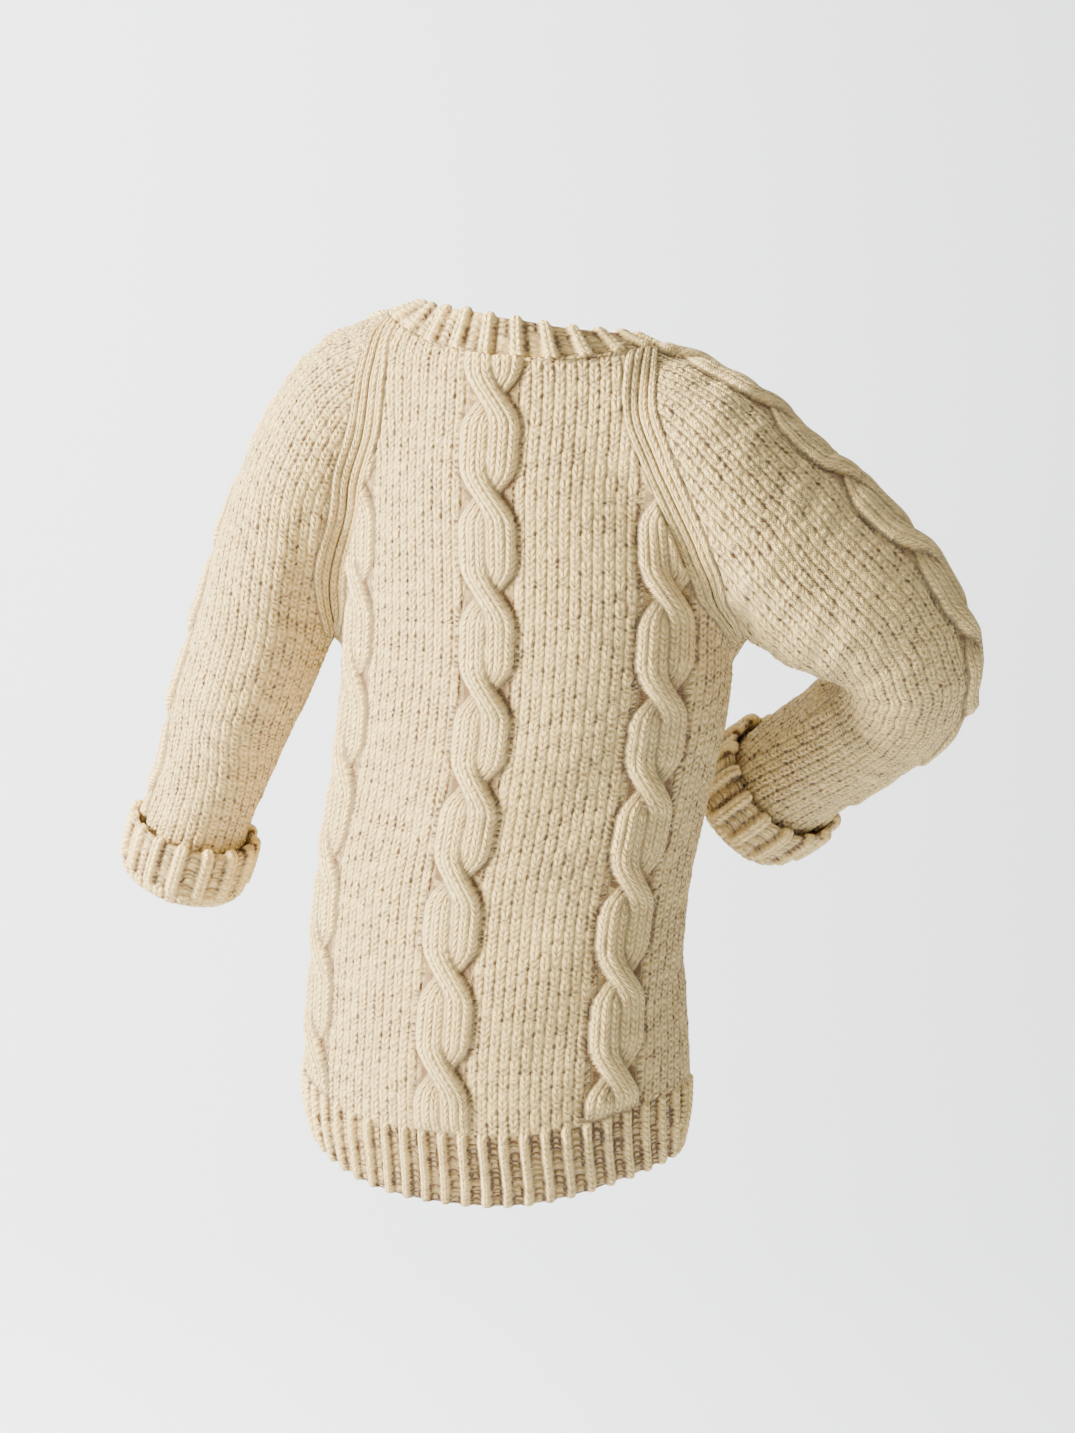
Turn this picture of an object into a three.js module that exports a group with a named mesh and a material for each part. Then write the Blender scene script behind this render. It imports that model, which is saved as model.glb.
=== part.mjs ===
// Cable knit sweater, hip length, worn form with the arms held away from the body.
// Millimetres, +Z up. The wearer faces -Y, with the left arm toward +X.
// The origin is at the neck, where the shoulders carry the sweater.
import * as THREE from 'three';

const column = (names, rows) => rows.map(
  (row) => Object.fromEntries(names.map((name, i) => [name, row[i]])));

// cloth and seams
const WALL = 3;
const SEAM_GAP = 0.3;
const RIB_RELIEF = 2.6;
const CABLE_RELIEF = 7;

// knitting
const ROW_STEP = 17;
const GROUND_STEP = 31;
const RIB_PITCH = 19.2;
const POINTS_PER_RIB = 4;
const HEM_RIB_HEIGHT = 68;
const CABLE_WIDTH = 54;
const CABLE_REPEAT = 84.7;
const CABLE_COLUMNS = 6;
const BODY_CABLES = [-158, 0, 158];
const BODY_CROSSING_HEIGHT = -54;
const SLEEVE_CABLES = [0];
const SLEEVE_CROSSING_HEIGHT = 40;

// levels of the body
const HEM_LEVEL = -772;
const HEM_SIDE_LIFT = 28;
const HEM_LIFT_FADE = 270;
const ARMHOLE_ROWS = 16;
const SHOULDER_TILT = Math.tan(7 * Math.PI / 180);
const BLEND = 32;

// neckband
const NECK_POINTS = 100;
const NECK_MIDDLE = [4, 4, -90];
// how steeply the seam and the top edge are seen from that middle, by angle from the back
const NECK_VIEWS = column(['angle', 'seam', 'top'], [
  [0, 41, 55],
  [20, 40.7, 54.6],
  [45, 38, 51.5],
  [90, 34, 44.5],
  [125, 20.5, 36],
  [150, 8.5, 27],
  [168, 4.2, 23.6],
  [180, 3.6, 23.2],
]);
const NECK_TILT = 3.5;
const NECK_CORNERS = { backLeft: 18, frontLeft: 34, frontRight: 66, backRight: 82 };

// turned-back cuffs
const CUFF_RIBS = 15;
const CUFF_INNER_TOP = 46;

// horizontal sections of the body, before the shoulders tilt
const BODY_SECTIONS = column(['z', 'x', 'y', 'halfWidth', 'halfDepth', 'turn'], [
  [-790, 36, 6, 168, 118, 4],
  [-765, 36, 6, 172, 119, 4],
  [-700, 36, 6, 184, 126, 4],
  [-600, 36, 3, 180, 124, 3],
  [-510, 34, -3, 177, 114, 1],
  [-420, 20, -7, 180, 115, 0],
  [-320, 4, -8, 184, 116, 0],
  [-220, 0, -8, 178, 114, 0],
  [-130, 2, -6, 160, 106, 0],
  [-60, 4, -4, 142, 93, 0],
  [-20, 4, 1, 124, 82, 0],
  [0, 4, 3, 106, 75, 0],
  [14, 4, 5, 88, 69, 0],
  [34, 4, 7, 70, 60, 0],
  [70, 4, 8, 60, 52, 0],
]);

// stations along each sleeve, from inside the shoulder to beyond the cuff
const SLEEVE_COLUMNS = ['x', 'y', 'z', 'radius', 'stretch'];
const LEFT_SLEEVE = column(SLEEVE_COLUMNS, [
  [60, 0, -38, 46, 0],
  [118, 2, -42, 58, 0],
  [172, 5, -74, 66, 0],
  [212, 10, -140, 68, 0],
  [256, 13, -250, 64, 0],
  [280, 10, -310, 62, 0],
  [301, 6, -352, 59, 0],
  [322, 0, -402, 54, 0],
  [343, -3, -450, 50, 0],
  [362, -7, -498, 49, 0],
  [385, -12, -560, 49, 0],
]);
const RIGHT_SLEEVE = column(SLEEVE_COLUMNS, [
  [-50, 0, -66, 46, 0],
  [-110, 4, -76, 60, 0],
  [-160, 2, -106, 70, 0.02],
  [-205, -10, -160, 78, 0.12],
  [-254, -32, -204, 79, 0.14],
  [-304, -53, -245, 70, 0.06],
  [-326, -77, -292, 62, 0],
  [-306, -104, -334, 59, 0],
  [-269, -122, -362, 58, 0],
  [-233, -138, -389, 56, 0],
  [-199, -152, -416, 54, 0],
  [-165, -167, -443, 53, 0],
  [-127, -183, -473, 52, 0],
  [-85, -200, -505, 51, 0],
]);

// raglan seams: points they pass, by share of the way from underarm to neck
const RAY_COLUMNS = ['share', 'x', 'y', 'z'];
const RAGLANS = {
  left: {
    back: column(RAY_COLUMNS, [
      [0, 196, 2, -287],
      [0.2, 192, 34, -236],
      [0.41, 161, 55, -169],
      [0.52, 153, 61, -133],
      [0.66, 138, 64, -93],
      [0.86, 127, 60, -42],
      [1, 112, 50, -5],
    ]),
    front: column(RAY_COLUMNS, [
      [0, 196, 2, -287],
      [0.2, 192, -34, -236],
      [0.41, 164, -60, -172],
      [0.52, 156, -68, -140],
      [0.66, 141, -76, -104],
      [0.86, 118, -76, -66],
      [1, 96, -70, -40],
    ]),
  },
  right: {
    back: column(RAY_COLUMNS, [
      [0, -196, -21, -270],
      [0.186, -185, 15, -240],
      [0.378, -172, 48, -189],
      [0.604, -145, 66, -124],
      [0.774, -123, 66, -74],
      [1, -108, 48, -28],
    ]),
    front: column(RAY_COLUMNS, [
      [0, -196, -21, -270],
      [0.186, -186, -52, -240],
      [0.378, -173, -68, -189],
      [0.604, -146, -80, -132],
      [0.774, -122, -80, -96],
      [1, -94, -68, -60],
    ]),
  },
};

// large soft folds: troughs pressed into the cloth along short lines
const FOLDS = column(['x1', 'y1', 'z1', 'x2', 'y2', 'z2', 'width', 'depth'], [
  [-262, -80, -296, -326, -18, -262, 20, 5],
  [-196, 50, -262, -262, 22, -268, 20, 4],
  [-200, -60, -250, -262, -84, -262, 20, 4],
  [-160, 60, -330, -60, 100, -430, 22, 4],
  [170, 66, -330, 96, 96, -440, 24, 4],
  [-150, -80, -300, -70, -116, -420, 24, 4],
  [150, -84, -300, 90, -116, -420, 24, 4],
  [-90, 92, -470, -20, 106, -520, 20, 3],
  [120, -90, -480, 30, -118, -560, 24, 4],
  [338, 44, -388, 378, 10, -430, 18, 3],
  [296, -50, -380, 334, -56, -410, 18, 3],
  [-214, -100, -340, -240, -160, -344, 18, 3],
]);

// vectors as plain arrays
const add = (a, b) => [a[0] + b[0], a[1] + b[1], a[2] + b[2]];
const sub = (a, b) => [a[0] - b[0], a[1] - b[1], a[2] - b[2]];
const scale = (a, k) => [a[0] * k, a[1] * k, a[2] * k];
const dot = (a, b) => a[0] * b[0] + a[1] * b[1] + a[2] * b[2];
const cross = (a, b) => [
  a[1] * b[2] - a[2] * b[1],
  a[2] * b[0] - a[0] * b[2],
  a[0] * b[1] - a[1] * b[0],
];
const length = (a) => Math.sqrt(dot(a, a));
const unit = (a) => scale(a, 1 / (length(a) || 1));
const mix = (a, b, k) => add(scale(a, 1 - k), scale(b, k));
const lerp = (a, b, k) => a + (b - a) * k;
const clamp = (x, low, high) => Math.min(high, Math.max(low, x));
const smooth = (low, high, x) => {
  const t = clamp((x - low) / (high - low), 0, 1);
  return t * t * (3 - 2 * t);
};
const radians = (degrees) => degrees * Math.PI / 180;
const xyz = (row) => [row.x, row.y, row.z];

// smooth curve through a table's rows, by one rising column
function reader(rows, key) {
  const names = Object.keys(rows[0]).filter((name) => name !== key);
  const at = rows.map((row) => row[key]);
  const last = rows.length - 1;
  const slope = rows.map((row, i) => {
    const before = Math.max(i - 1, 0);
    const after = Math.min(i + 1, last);
    return Object.fromEntries(names.map(
      (name) => [name, (rows[after][name] - rows[before][name]) / (at[after] - at[before])]));
  });
  return (value) => {
    const x = clamp(value, at[0], at[last]);
    let i = 0;
    while (i < last - 1 && x > at[i + 1]) i += 1;
    const h = at[i + 1] - at[i];
    const t = (x - at[i]) / h;
    const w0 = (1 + 2 * t) * (1 - t) * (1 - t);
    const w1 = t * (1 - t) * (1 - t) * h;
    const w2 = t * t * (3 - 2 * t);
    const w3 = t * t * (t - 1) * h;
    const out = {};
    for (const name of names) {
      out[name] = w0 * rows[i][name] + w1 * slope[i][name]
        + w2 * rows[i + 1][name] + w3 * slope[i + 1][name];
    }
    return out;
  };
}

// a sleeve's centre line, read by its length
function centreLine(stations) {
  let run = 0;
  const rows = stations.map((station, i) => {
    if (i) run += length(sub(xyz(station), xyz(stations[i - 1])));
    return { run, ...station };
  });
  const read = reader(rows, 'run');
  const parts = 26;
  const chain = Array.from({ length: parts }, (_, i) => read(run * i / (parts - 1)));
  return { read, chain, total: run };
}
const bodySection = reader(BODY_SECTIONS, 'z');
const SLEEVES = {
  left: { ...centreLine(LEFT_SLEEVE), ...RAGLANS.left, side: 1 },
  right: { ...centreLine(RIGHT_SLEEVE), ...RAGLANS.right, side: -1 },
};
const tiltAt = (x, z) => SHOULDER_TILT * smooth(-300, 0, z) * x;

// signed distance, near enough, to the worn surface
function bodyDistance(p) {
  const section = bodySection(p[2] - tiltAt(p[0], p[2]));
  const turn = radians(section.turn);
  const dx = p[0] - section.x;
  const dy = p[1] - section.y;
  const u = Math.cos(turn) * dx + Math.sin(turn) * dy;
  const v = Math.cos(turn) * dy - Math.sin(turn) * dx;
  const k0 = Math.hypot(u / section.halfWidth, v / section.halfDepth);
  const k1 = Math.hypot(u / section.halfWidth ** 2, v / section.halfDepth ** 2);
  return k0 * (k0 - 1) / Math.max(k1, 1e-9);
}
function sleeveDistance(p, chain) {
  let best = 1e9;
  for (let i = 0; i < chain.length - 1; i += 1) {
    const a = chain[i];
    const b = chain[i + 1];
    const ab = [b.x - a.x, b.y - a.y, b.z - a.z];
    const ap = [p[0] - a.x, p[1] - a.y, p[2] - a.z];
    const t = clamp(dot(ap, ab) / dot(ab, ab), 0, 1);
    const w = [ap[0] - t * ab[0], ap[1] - t * ab[1], ap[2] - t * ab[2]];
    const n = length(w) + 1e-9;
    const reach = lerp(a.radius, b.radius, t)
      * (1 + lerp(a.stretch, b.stretch, t) * (2 * (w[2] / n) ** 2 - 1));
    if (n - reach < best) best = n - reach;
  }
  return best;
}
function blend(a, b) {
  const h = clamp(0.5 + 0.5 * (b - a) / BLEND, 0, 1);
  return lerp(b, a, h) - BLEND * h * (1 - h);
}
function foldDepth(p) {
  let depth = 0;
  for (const fold of FOLDS) {
    const a = [fold.x1, fold.y1, fold.z1];
    const ab = sub([fold.x2, fold.y2, fold.z2], a);
    const ap = sub(p, a);
    const t = clamp(dot(ap, ab) / dot(ab, ab), 0, 1);
    const w = sub(ap, scale(ab, t));
    depth += fold.depth * Math.exp(-dot(w, w) / (fold.width * fold.width * 2));
  }
  return depth;
}
function field(p) {
  const body = bodyDistance(p);
  const left = sleeveDistance(p, SLEEVES.left.chain);
  const right = sleeveDistance(p, SLEEVES.right.chain);
  return blend(blend(body, left), right) + foldDepth(p);
}
function normalAt(p) {
  const h = 2.5;
  return unit([0, 1, 2].map((axis) => {
    const step = [0, 0, 0];
    step[axis] = h;
    return field(add(p, step)) - field(sub(p, step));
  }));
}
// first point where a ray leaves one of the forms
function leave(start, direction, form) {
  const step = 6;
  const ray = unit(direction);
  let high = step;
  while (high < 460 && form(add(start, scale(ray, high))) < 0) high += step;
  let low = high - step;
  for (let i = 0; i < 14; i += 1) {
    const middle = (low + high) / 2;
    if (form(add(start, scale(ray, middle))) < 0) low = middle;
    else high = middle;
  }
  return add(start, scale(ray, (low + high) / 2));
}
// nearest point of the worn surface to one close by
function settle(p) {
  let q = p;
  for (let i = 0; i < 6; i += 1) q = sub(q, scale(normalAt(q), 0.9 * field(q)));
  return q;
}
const axisAt = (z) => {
  const section = bodySection(z);
  return [section.x, section.y, z];
};
const heading = (angle, lift) => [
  Math.sin(angle) * Math.cos(lift), Math.cos(angle) * Math.cos(lift), Math.sin(lift)];
function fromAxis(angle, z) {
  return settle(leave(axisAt(z), heading(radians(angle), 0), bodyDistance));
}
function angleOf(p) {
  const section = bodySection(p[2]);
  return Math.atan2(p[0] - section.x, p[1] - section.y) * 180 / Math.PI;
}

// neck lines, seen from the middle of the neck
const neckView = reader(NECK_VIEWS, 'angle');
function neckPoint(angle, share) {
  const away = Math.abs(((angle + 540) % 360) - 180);
  const view = neckView(away);
  const turned = radians(angle);
  const lift = radians(lerp(view.seam, view.top, share) + NECK_TILT * Math.sin(turned));
  return leave(NECK_MIDDLE, heading(turned, lift), field);
}
const neckAngle = (p) => Math.atan2(p[0] - NECK_MIDDLE[0], p[1] - NECK_MIDDLE[1]) * 180 / Math.PI;
function evenly(points, count) {
  const run = [0];
  for (let i = 1; i < points.length; i += 1) {
    run.push(run[i - 1] + length(sub(points[i], points[i - 1])));
  }
  const total = run[run.length - 1];
  const out = [];
  for (let k = 0, i = 0; k < count; k += 1) {
    const want = total * k / count;
    while (run[i + 1] < want) i += 1;
    out.push(mix(points[i], points[i + 1], (want - run[i]) / (run[i + 1] - run[i])));
  }
  return out;
}
const neckDense = Array.from({ length: 361 }, (_, angle) => neckPoint(angle, 0));
const neckSeam = evenly(neckDense, NECK_POINTS).map((p) => (
  { angle: neckAngle(p), point: p, normal: normalAt(p) }));
neckSeam.forEach((station, k) => {
  const next = neckSeam[(k + 1) % NECK_POINTS].point;
  const before = neckSeam[(k + NECK_POINTS - 1) % NECK_POINTS].point;
  const across = unit(cross(station.normal, unit(sub(next, before))));
  const towardTop = sub(neckPoint(station.angle, 0.3), station.point);
  station.up = dot(across, towardTop) > 0 ? across : scale(across, -1);
});

// armhole seams
function armhole(sleeve, cornerBack, cornerFront) {
  const back = reader(sleeve.back, 'share');
  const front = reader(sleeve.front, 'share');
  const pointAt = (signed) => {
    const share = Math.min(Math.abs(signed), 1);
    const corner = neckSeam[signed > 0 ? cornerBack : cornerFront].point;
    const passed = xyz((signed > 0 ? back : front)(share));
    return settle(mix(passed, corner, smooth(0.75, 1, share)));
  };
  const half = 0.02;
  const at = (signed) => {
    const point = pointAt(signed);
    const normal = normalAt(point);
    const along = unit(sub(pointAt(signed + half), pointAt(signed - half)));
    let toBody = unit(cross(normal, along));
    const section = bodySection(point[2]);
    const inward = sub([section.x, section.y, point[2] - 60], point);
    if (dot(toBody, inward) < 0) toBody = scale(toBody, -1);
    return { point, normal, along, toBody };
  };
  const rows = ARMHOLE_ROWS;
  return {
    back: Array.from({ length: rows + 1 }, (_, i) => at(Math.max(i, 0.001) / rows)),
    front: Array.from({ length: rows + 1 }, (_, i) => at(-Math.max(i, 0.001) / rows)),
  };
}
const ARMHOLES = {
  left: armhole(SLEEVES.left, NECK_CORNERS.backLeft, NECK_CORNERS.frontLeft),
  right: armhole(SLEEVES.right, NECK_CORNERS.backRight, NECK_CORNERS.frontRight),
};
for (const side of ['left', 'right']) ARMHOLES[side].front[0] = ARMHOLES[side].back[0];

// raised knitting: two strands of a cable that change places once in each repeat
function cableRelief(across, run) {
  const u = across / (CABLE_WIDTH / 2);
  if (Math.abs(u) > 1.05) return 0;
  const turn = run / CABLE_REPEAT;
  const phase = turn - Math.round(turn);
  const swap = smooth(-0.17, 0.17, phase);
  const front = lerp(0.5, -0.5, swap);
  const middle = 1 - smooth(0.05, 0.2, Math.abs(phase));
  const strand = (centre, lift) => {
    const d = (u - centre) / 0.52;
    return d * d < 1 ? Math.sqrt(1 - d * d) * lift : 0;
  };
  const over = strand(front, CABLE_RELIEF * (1 + 0.25 * middle));
  const under = strand(-front, CABLE_RELIEF * (1 - 0.55 * middle));
  return Math.max(over, under);
}
function cablesRelief(cables, across, run, half) {
  let relief = 0;
  for (const centre of cables) relief = Math.max(relief, cableRelief(across - centre, run));
  return relief * smooth(4, 16, half - Math.abs(across));
}
function ribRelief(step) {
  return step % POINTS_PER_RIB < POINTS_PER_RIB / 2 ? RIB_RELIEF : 0;
}

// a curve of points, measured from its own middle
function measured(points, middle) {
  const run = [0];
  for (let i = 1; i < points.length; i += 1) {
    run.push(run[i - 1] + length(sub(points[i], points[i - 1])));
  }
  const whole = Math.floor(middle);
  const zero = lerp(run[whole], run[Math.min(whole + 1, run.length - 1)], middle - whole);
  const low = -zero;
  const high = run[run.length - 1] - zero;
  return {
    low,
    high,
    at(place) {
      const want = clamp(place, low, high) + zero;
      let i = 0;
      while (i < run.length - 2 && run[i + 1] < want) i += 1;
      return mix(points[i], points[i + 1], (want - run[i]) / (run[i + 1] - run[i] || 1));
    },
  };
}
function columnPlaces(cables, low, high, step) {
  const marks = [];
  let edge = low;
  const plain = (from, to) => {
    const parts = Math.max(1, Math.round((to - from) / step));
    for (let i = 0; i < parts; i += 1) marks.push(from + (to - from) * i / parts);
  };
  for (const centre of cables) {
    const start = centre - CABLE_WIDTH / 2;
    if (start > edge) plain(edge, start);
    for (let i = 0; i < CABLE_COLUMNS; i += 1) marks.push(start + CABLE_WIDTH * i / CABLE_COLUMNS);
    edge = centre + CABLE_WIDTH / 2;
  }
  plain(edge, Math.max(high, edge + step / 2));
  marks.push(high);
  return marks;
}
function insideOf(marks, low, high, margin) {
  return marks.filter((place) => place > low + margin && place < high - margin);
}

// a closed cloth body, joined from strips between rows of points
class Cloth {
  constructor() {
    this.points = [];
    this.faces = [];
  }
  put(p) {
    this.points.push(p);
    return this.points.length - 1;
  }
  strip(a, b, flip) {
    let i = 0;
    let j = 0;
    const gap = (m, n) => length(sub(this.points[m], this.points[n]));
    while (i < a.length - 1 || j < b.length - 1) {
      const canA = i < a.length - 1;
      const canB = j < b.length - 1;
      const useA = canA && (!canB || gap(a[i + 1], b[j]) <= gap(a[i], b[j + 1]));
      const face = useA ? [a[i], a[i + 1], b[j]] : [a[i], b[j + 1], b[j]];
      const whole = face[0] !== face[1] && face[1] !== face[2] && face[0] !== face[2];
      if (whole) this.faces.push(flip ? [face[0], face[2], face[1]] : face);
      if (useA) i += 1;
      else j += 1;
    }
  }
  volume() {
    let six = 0;
    for (const [a, b, c] of this.faces) {
      six += dot(this.points[a], cross(this.points[b], this.points[c]));
    }
    return six / 6;
  }
}
const outerPoint = (station) => add(station.point, scale(station.normal, station.relief || 0));
const innerPoint = (station) => sub(station.point, scale(station.normal, WALL));

// rows of stations run from the bottom of a panel to its top
function panel(rows) {
  const cloth = new Cloth();
  const place = (stations, where, closed) => {
    const list = stations.map((station) => (station.skip ? -1 : cloth.put(where(station))));
    if (closed) list.push(list[0]);
    return list;
  };
  const outer = rows.map((row) => place(row.outer, outerPoint, row.closed));
  const inner = rows.map((row) => (row.inner ? place(row.inner, innerPoint, row.closed) : null));
  for (let i = 0; i < rows.length - 1; i += 1) cloth.strip(outer[i], outer[i + 1]);
  const innerRows = inner.filter((row) => row);
  for (let i = 0; i < innerRows.length - 1; i += 1) cloth.strip(innerRows[i], innerRows[i + 1], true);
  const last = rows.length - 1;
  const back = (list) => [...list].reverse();
  cloth.strip(inner[0], outer[0]);
  cloth.strip(back(inner[last]), back(outer[last]));
  const firstOpen = rows.findIndex((row) => !row.closed);
  if (firstOpen >= 0) {
    const from = Math.max(firstOpen - 1, 0);
    const outerEdge = outer.slice(from);
    const innerEdge = inner.slice(from).filter((row) => row);
    cloth.strip(innerEdge.map((row) => row[row.length - 1]), outerEdge.map((row) => row[row.length - 1]));
    cloth.strip(back(innerEdge.map((row) => row[0])), back(outerEdge.map((row) => row[0])));
  }
  return cloth;
}
const station = (point, relief = 0) => ({ point, normal: normalAt(point), relief });
const moved = (s, direction, amount, relief = 0) => ({
  point: add(s.point, scale(direction, amount)),
  normal: s.normal,
  relief,
});

// a row of guessed points, drawn to its two ends and settled on the worn surface
function curveThrough(guess, samples, middle, start, end) {
  const toStart = sub(start, guess(0));
  const toEnd = sub(end, guess(samples));
  const points = [];
  for (let k = 0; k <= samples; k += 1) {
    const share = k <= middle ? 1 - k / middle : (k - middle) / (samples - middle);
    const pull = smooth(0.35, 1, share);
    points.push(settle(add(guess(k), scale(k <= middle ? toStart : toEnd, pull))));
  }
  points[0] = start;
  points[samples] = end;
  return points;
}

// body panels
const underarm = {
  left: ARMHOLES.left.back[0].point,
  right: ARMHOLES.right.back[0].point,
};
const hemLift = (angle, z) => HEM_SIDE_LIFT * Math.sin(radians(angle)) ** 4
  * (1 - smooth(HEM_LEVEL, HEM_LEVEL + HEM_LIFT_FADE, z));
function sideSeam(side, z) {
  const level = side === 'left' ? 90 : -90;
  const corner = underarm[side];
  const at = (height) => {
    const angle = lerp(level, angleOf(corner), smooth(corner[2] - 150, corner[2], height));
    return fromAxis(angle, height + hemLift(angle, height));
  };
  const point = at(z);
  const normal = normalAt(point);
  const along = unit(sub(at(z + 4), at(z - 4)));
  let toBack = unit(cross(normal, along));
  if (toBack[1] < 0) toBack = scale(toBack, -1);
  return { point, normal, toBack };
}
const FACINGS = {
  back: { first: 'left', second: 'right', middle: 0, toFace: 1, cornerFirst: 'backLeft', cornerSecond: 'backRight' },
  front: {
    first: 'right', second: 'left', middle: 180, toFace: -1, cornerFirst: 'frontRight', cornerSecond: 'frontLeft',
  },
};
const SAMPLES = 36;
function bodyPanel(name) {
  const facing = FACINGS[name];
  const unwrap = (angle) => {
    let a = angle;
    while (a < facing.middle - 180) a += 360;
    while (a > facing.middle + 180) a -= 360;
    return a;
  };
  const curveBetween = (start, end, level) => {
    const first = unwrap(angleOf(start));
    const second = unwrap(angleOf(end));
    const half = SAMPLES / 2;
    const guess = (k) => {
      const angle = k <= half
        ? lerp(first, facing.middle, k / half)
        : lerp(facing.middle, second, (k - half) / half);
      return leave(axisAt(level(angle)), heading(radians(angle), 0), bodyDistance);
    };
    return measured(curveThrough(guess, SAMPLES, half, start, end), half);
  };
  const halfGap = SEAM_GAP / 2;
  const marks = columnPlaces(BODY_CABLES, -285, 285, GROUND_STEP);
  const innerMarks = columnPlaces([], -285, 285, 40);
  const closeMarks = columnPlaces([], -285, 285, 16);
  const rows = [];
  const addRow = (curve, ends, plainInside, places = innerMarks) => {
    const inside = insideOf(marks, curve.low, curve.high, 9);
    const outer = inside.map((across) => {
      const half = across < 0 ? -curve.low : curve.high;
      const p = curve.at(across);
      return station(p, ends.cable * cablesRelief(BODY_CABLES, across, p[2] - BODY_CROSSING_HEIGHT, half));
    });
    const row = { outer: [ends.first, ...outer, ends.second] };
    if (plainInside) {
      const inner = insideOf(places, curve.low, curve.high, 14);
      row.inner = [ends.first, ...inner.map((across) => station(curve.at(across))), ends.second];
    }
    rows.push(row);
  };
  // rib rows at the hem, then the ground up to the underarm
  const top = Math.min(underarm.left[2], underarm.right[2]);
  const ribLevels = [
    HEM_LEVEL,
    HEM_LEVEL + HEM_RIB_HEIGHT / 2,
    HEM_LEVEL + HEM_RIB_HEIGHT - 8,
    HEM_LEVEL + HEM_RIB_HEIGHT - 2,
  ];
  const groundRows = Math.round((top - HEM_LEVEL - HEM_RIB_HEIGHT) / ROW_STEP / 2) * 2;
  const groundLevels = Array.from(
    { length: groundRows },
    (_, i) => lerp(HEM_LEVEL + HEM_RIB_HEIGHT + 6, top, i / groundRows));
  const levelCurve = (z) => {
    const first = sideSeam(facing.first, z);
    const second = sideSeam(facing.second, z);
    const curve = curveBetween(first.point, second.point, (angle) => z + hemLift(angle, z));
    return { first, second, curve };
  };
  ribLevels.forEach((z, i) => {
    const { first, second, curve } = levelCurve(z);
    const width = curve.high - curve.low;
    const ribs = Math.round(width / RIB_PITCH);
    const steps = ribs * POINTS_PER_RIB;
    const outer = [moved(first, first.toBack, facing.toFace * halfGap)];
    for (let k = 1; k < steps; k += 1) {
      outer.push(station(curve.at(curve.low + width * k / steps), i < 3 ? ribRelief(k + 1) : 0));
    }
    outer.push(moved(second, second.toBack, facing.toFace * halfGap));
    const row = { outer };
    if (i % 2 === 0) {
      row.inner = [
        outer[0],
        ...insideOf(innerMarks, curve.low, curve.high, 16).map((across) => station(curve.at(across))),
        outer[outer.length - 1],
      ];
    }
    rows.push(row);
  });
  groundLevels.forEach((z, i) => {
    const { first, second, curve } = levelCurve(z);
    addRow(curve, {
      first: moved(first, first.toBack, facing.toFace * halfGap),
      second: moved(second, second.toBack, facing.toFace * halfGap),
      cable: smooth(0, 1.5, i),
    }, i % 2 === 0);
  });
  // raglan rows, cast from a middle that rises to the neck's
  const firstEdge = ARMHOLES[facing.first][name];
  const secondEdge = ARMHOLES[facing.second][name];
  const corners = [NECK_CORNERS[facing.cornerFirst], NECK_CORNERS[facing.cornerSecond]];
  const liftFrom = (middle, p) => Math.atan2(
    p[2] - middle[2], Math.hypot(p[0] - middle[0], p[1] - middle[1]));
  const ends = [firstEdge, secondEdge].map((edge) => liftFrom(NECK_MIDDLE, edge[ARMHOLE_ROWS].point));
  const neckLift = liftFrom(NECK_MIDDLE, neckSeam[name === 'back' ? 0 : NECK_POINTS / 2].point);
  const crown = neckLift - (ends[0] + ends[1]) / 2;
  for (let i = 0; i < ARMHOLE_ROWS; i += 1) {
    const a = firstEdge[i];
    const b = secondEdge[i];
    const rise = smooth(0, 1, i / ARMHOLE_ROWS);
    const low = (firstEdge[0].point[2] + secondEdge[0].point[2]) / 2;
    const section = bodySection(lerp(low, NECK_MIDDLE[2], rise));
    const middle = mix([section.x, section.y, lerp(low, NECK_MIDDLE[2], rise)], NECK_MIDDLE, rise);
    const bend = crown * smooth(0.45, 1, i / ARMHOLE_ROWS);
    const angleFrom = (p) => unwrap(Math.atan2(p[0] - middle[0], p[1] - middle[1]) * 180 / Math.PI);
    const first = angleFrom(a.point);
    const second = angleFrom(b.point);
    const firstLift = liftFrom(middle, a.point);
    const secondLift = liftFrom(middle, b.point);
    const half = SAMPLES / 2;
    const guess = (k) => {
      const angle = k <= half
        ? lerp(first, facing.middle, k / half)
        : lerp(facing.middle, second, (k - half) / half);
      const share = (first - angle) / (first - second);
      const lift = lerp(firstLift, secondLift, share) + bend * 4 * share * (1 - share);
      return leave(middle, heading(radians(angle), lift), bodyDistance);
    };
    const points = curveThrough(guess, SAMPLES, half, a.point, b.point);
    const edge = (s, side) => {
      const base = moved(s, s.toBody, halfGap);
      if (i > 0) return base;
      const seam = sideSeam(side, s.point[2] - 2);
      return moved(base, seam.toBack, facing.toFace * halfGap);
    };
    addRow(measured(points, half), {
      first: edge(a, facing.first),
      second: edge(b, facing.second),
      cable: 1 - smooth(ARMHOLE_ROWS - 2, ARMHOLE_ROWS, i),
    }, true, closeMarks);
  }
  // neck edge, on the neckband's own points
  const count = NECK_POINTS;
  const order = [];
  const turns = (corners[0] - corners[1] + count) % count;
  for (let k = 0; k <= turns; k += 1) order.push((corners[0] - k + count) % count);
  const neckRow = order.map((k, i) => {
    const s = neckSeam[k];
    let at = moved(s, s.up, -halfGap);
    if (i === 0) at = moved(at, firstEdge[ARMHOLE_ROWS].toBody, halfGap);
    if (i === order.length - 1) at = moved(at, secondEdge[ARMHOLE_ROWS].toBody, halfGap);
    return at;
  });
  rows.push({ outer: neckRow, inner: neckRow.filter((_, i) => i % 2 === 0) });
  return panel(rows);
}

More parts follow.
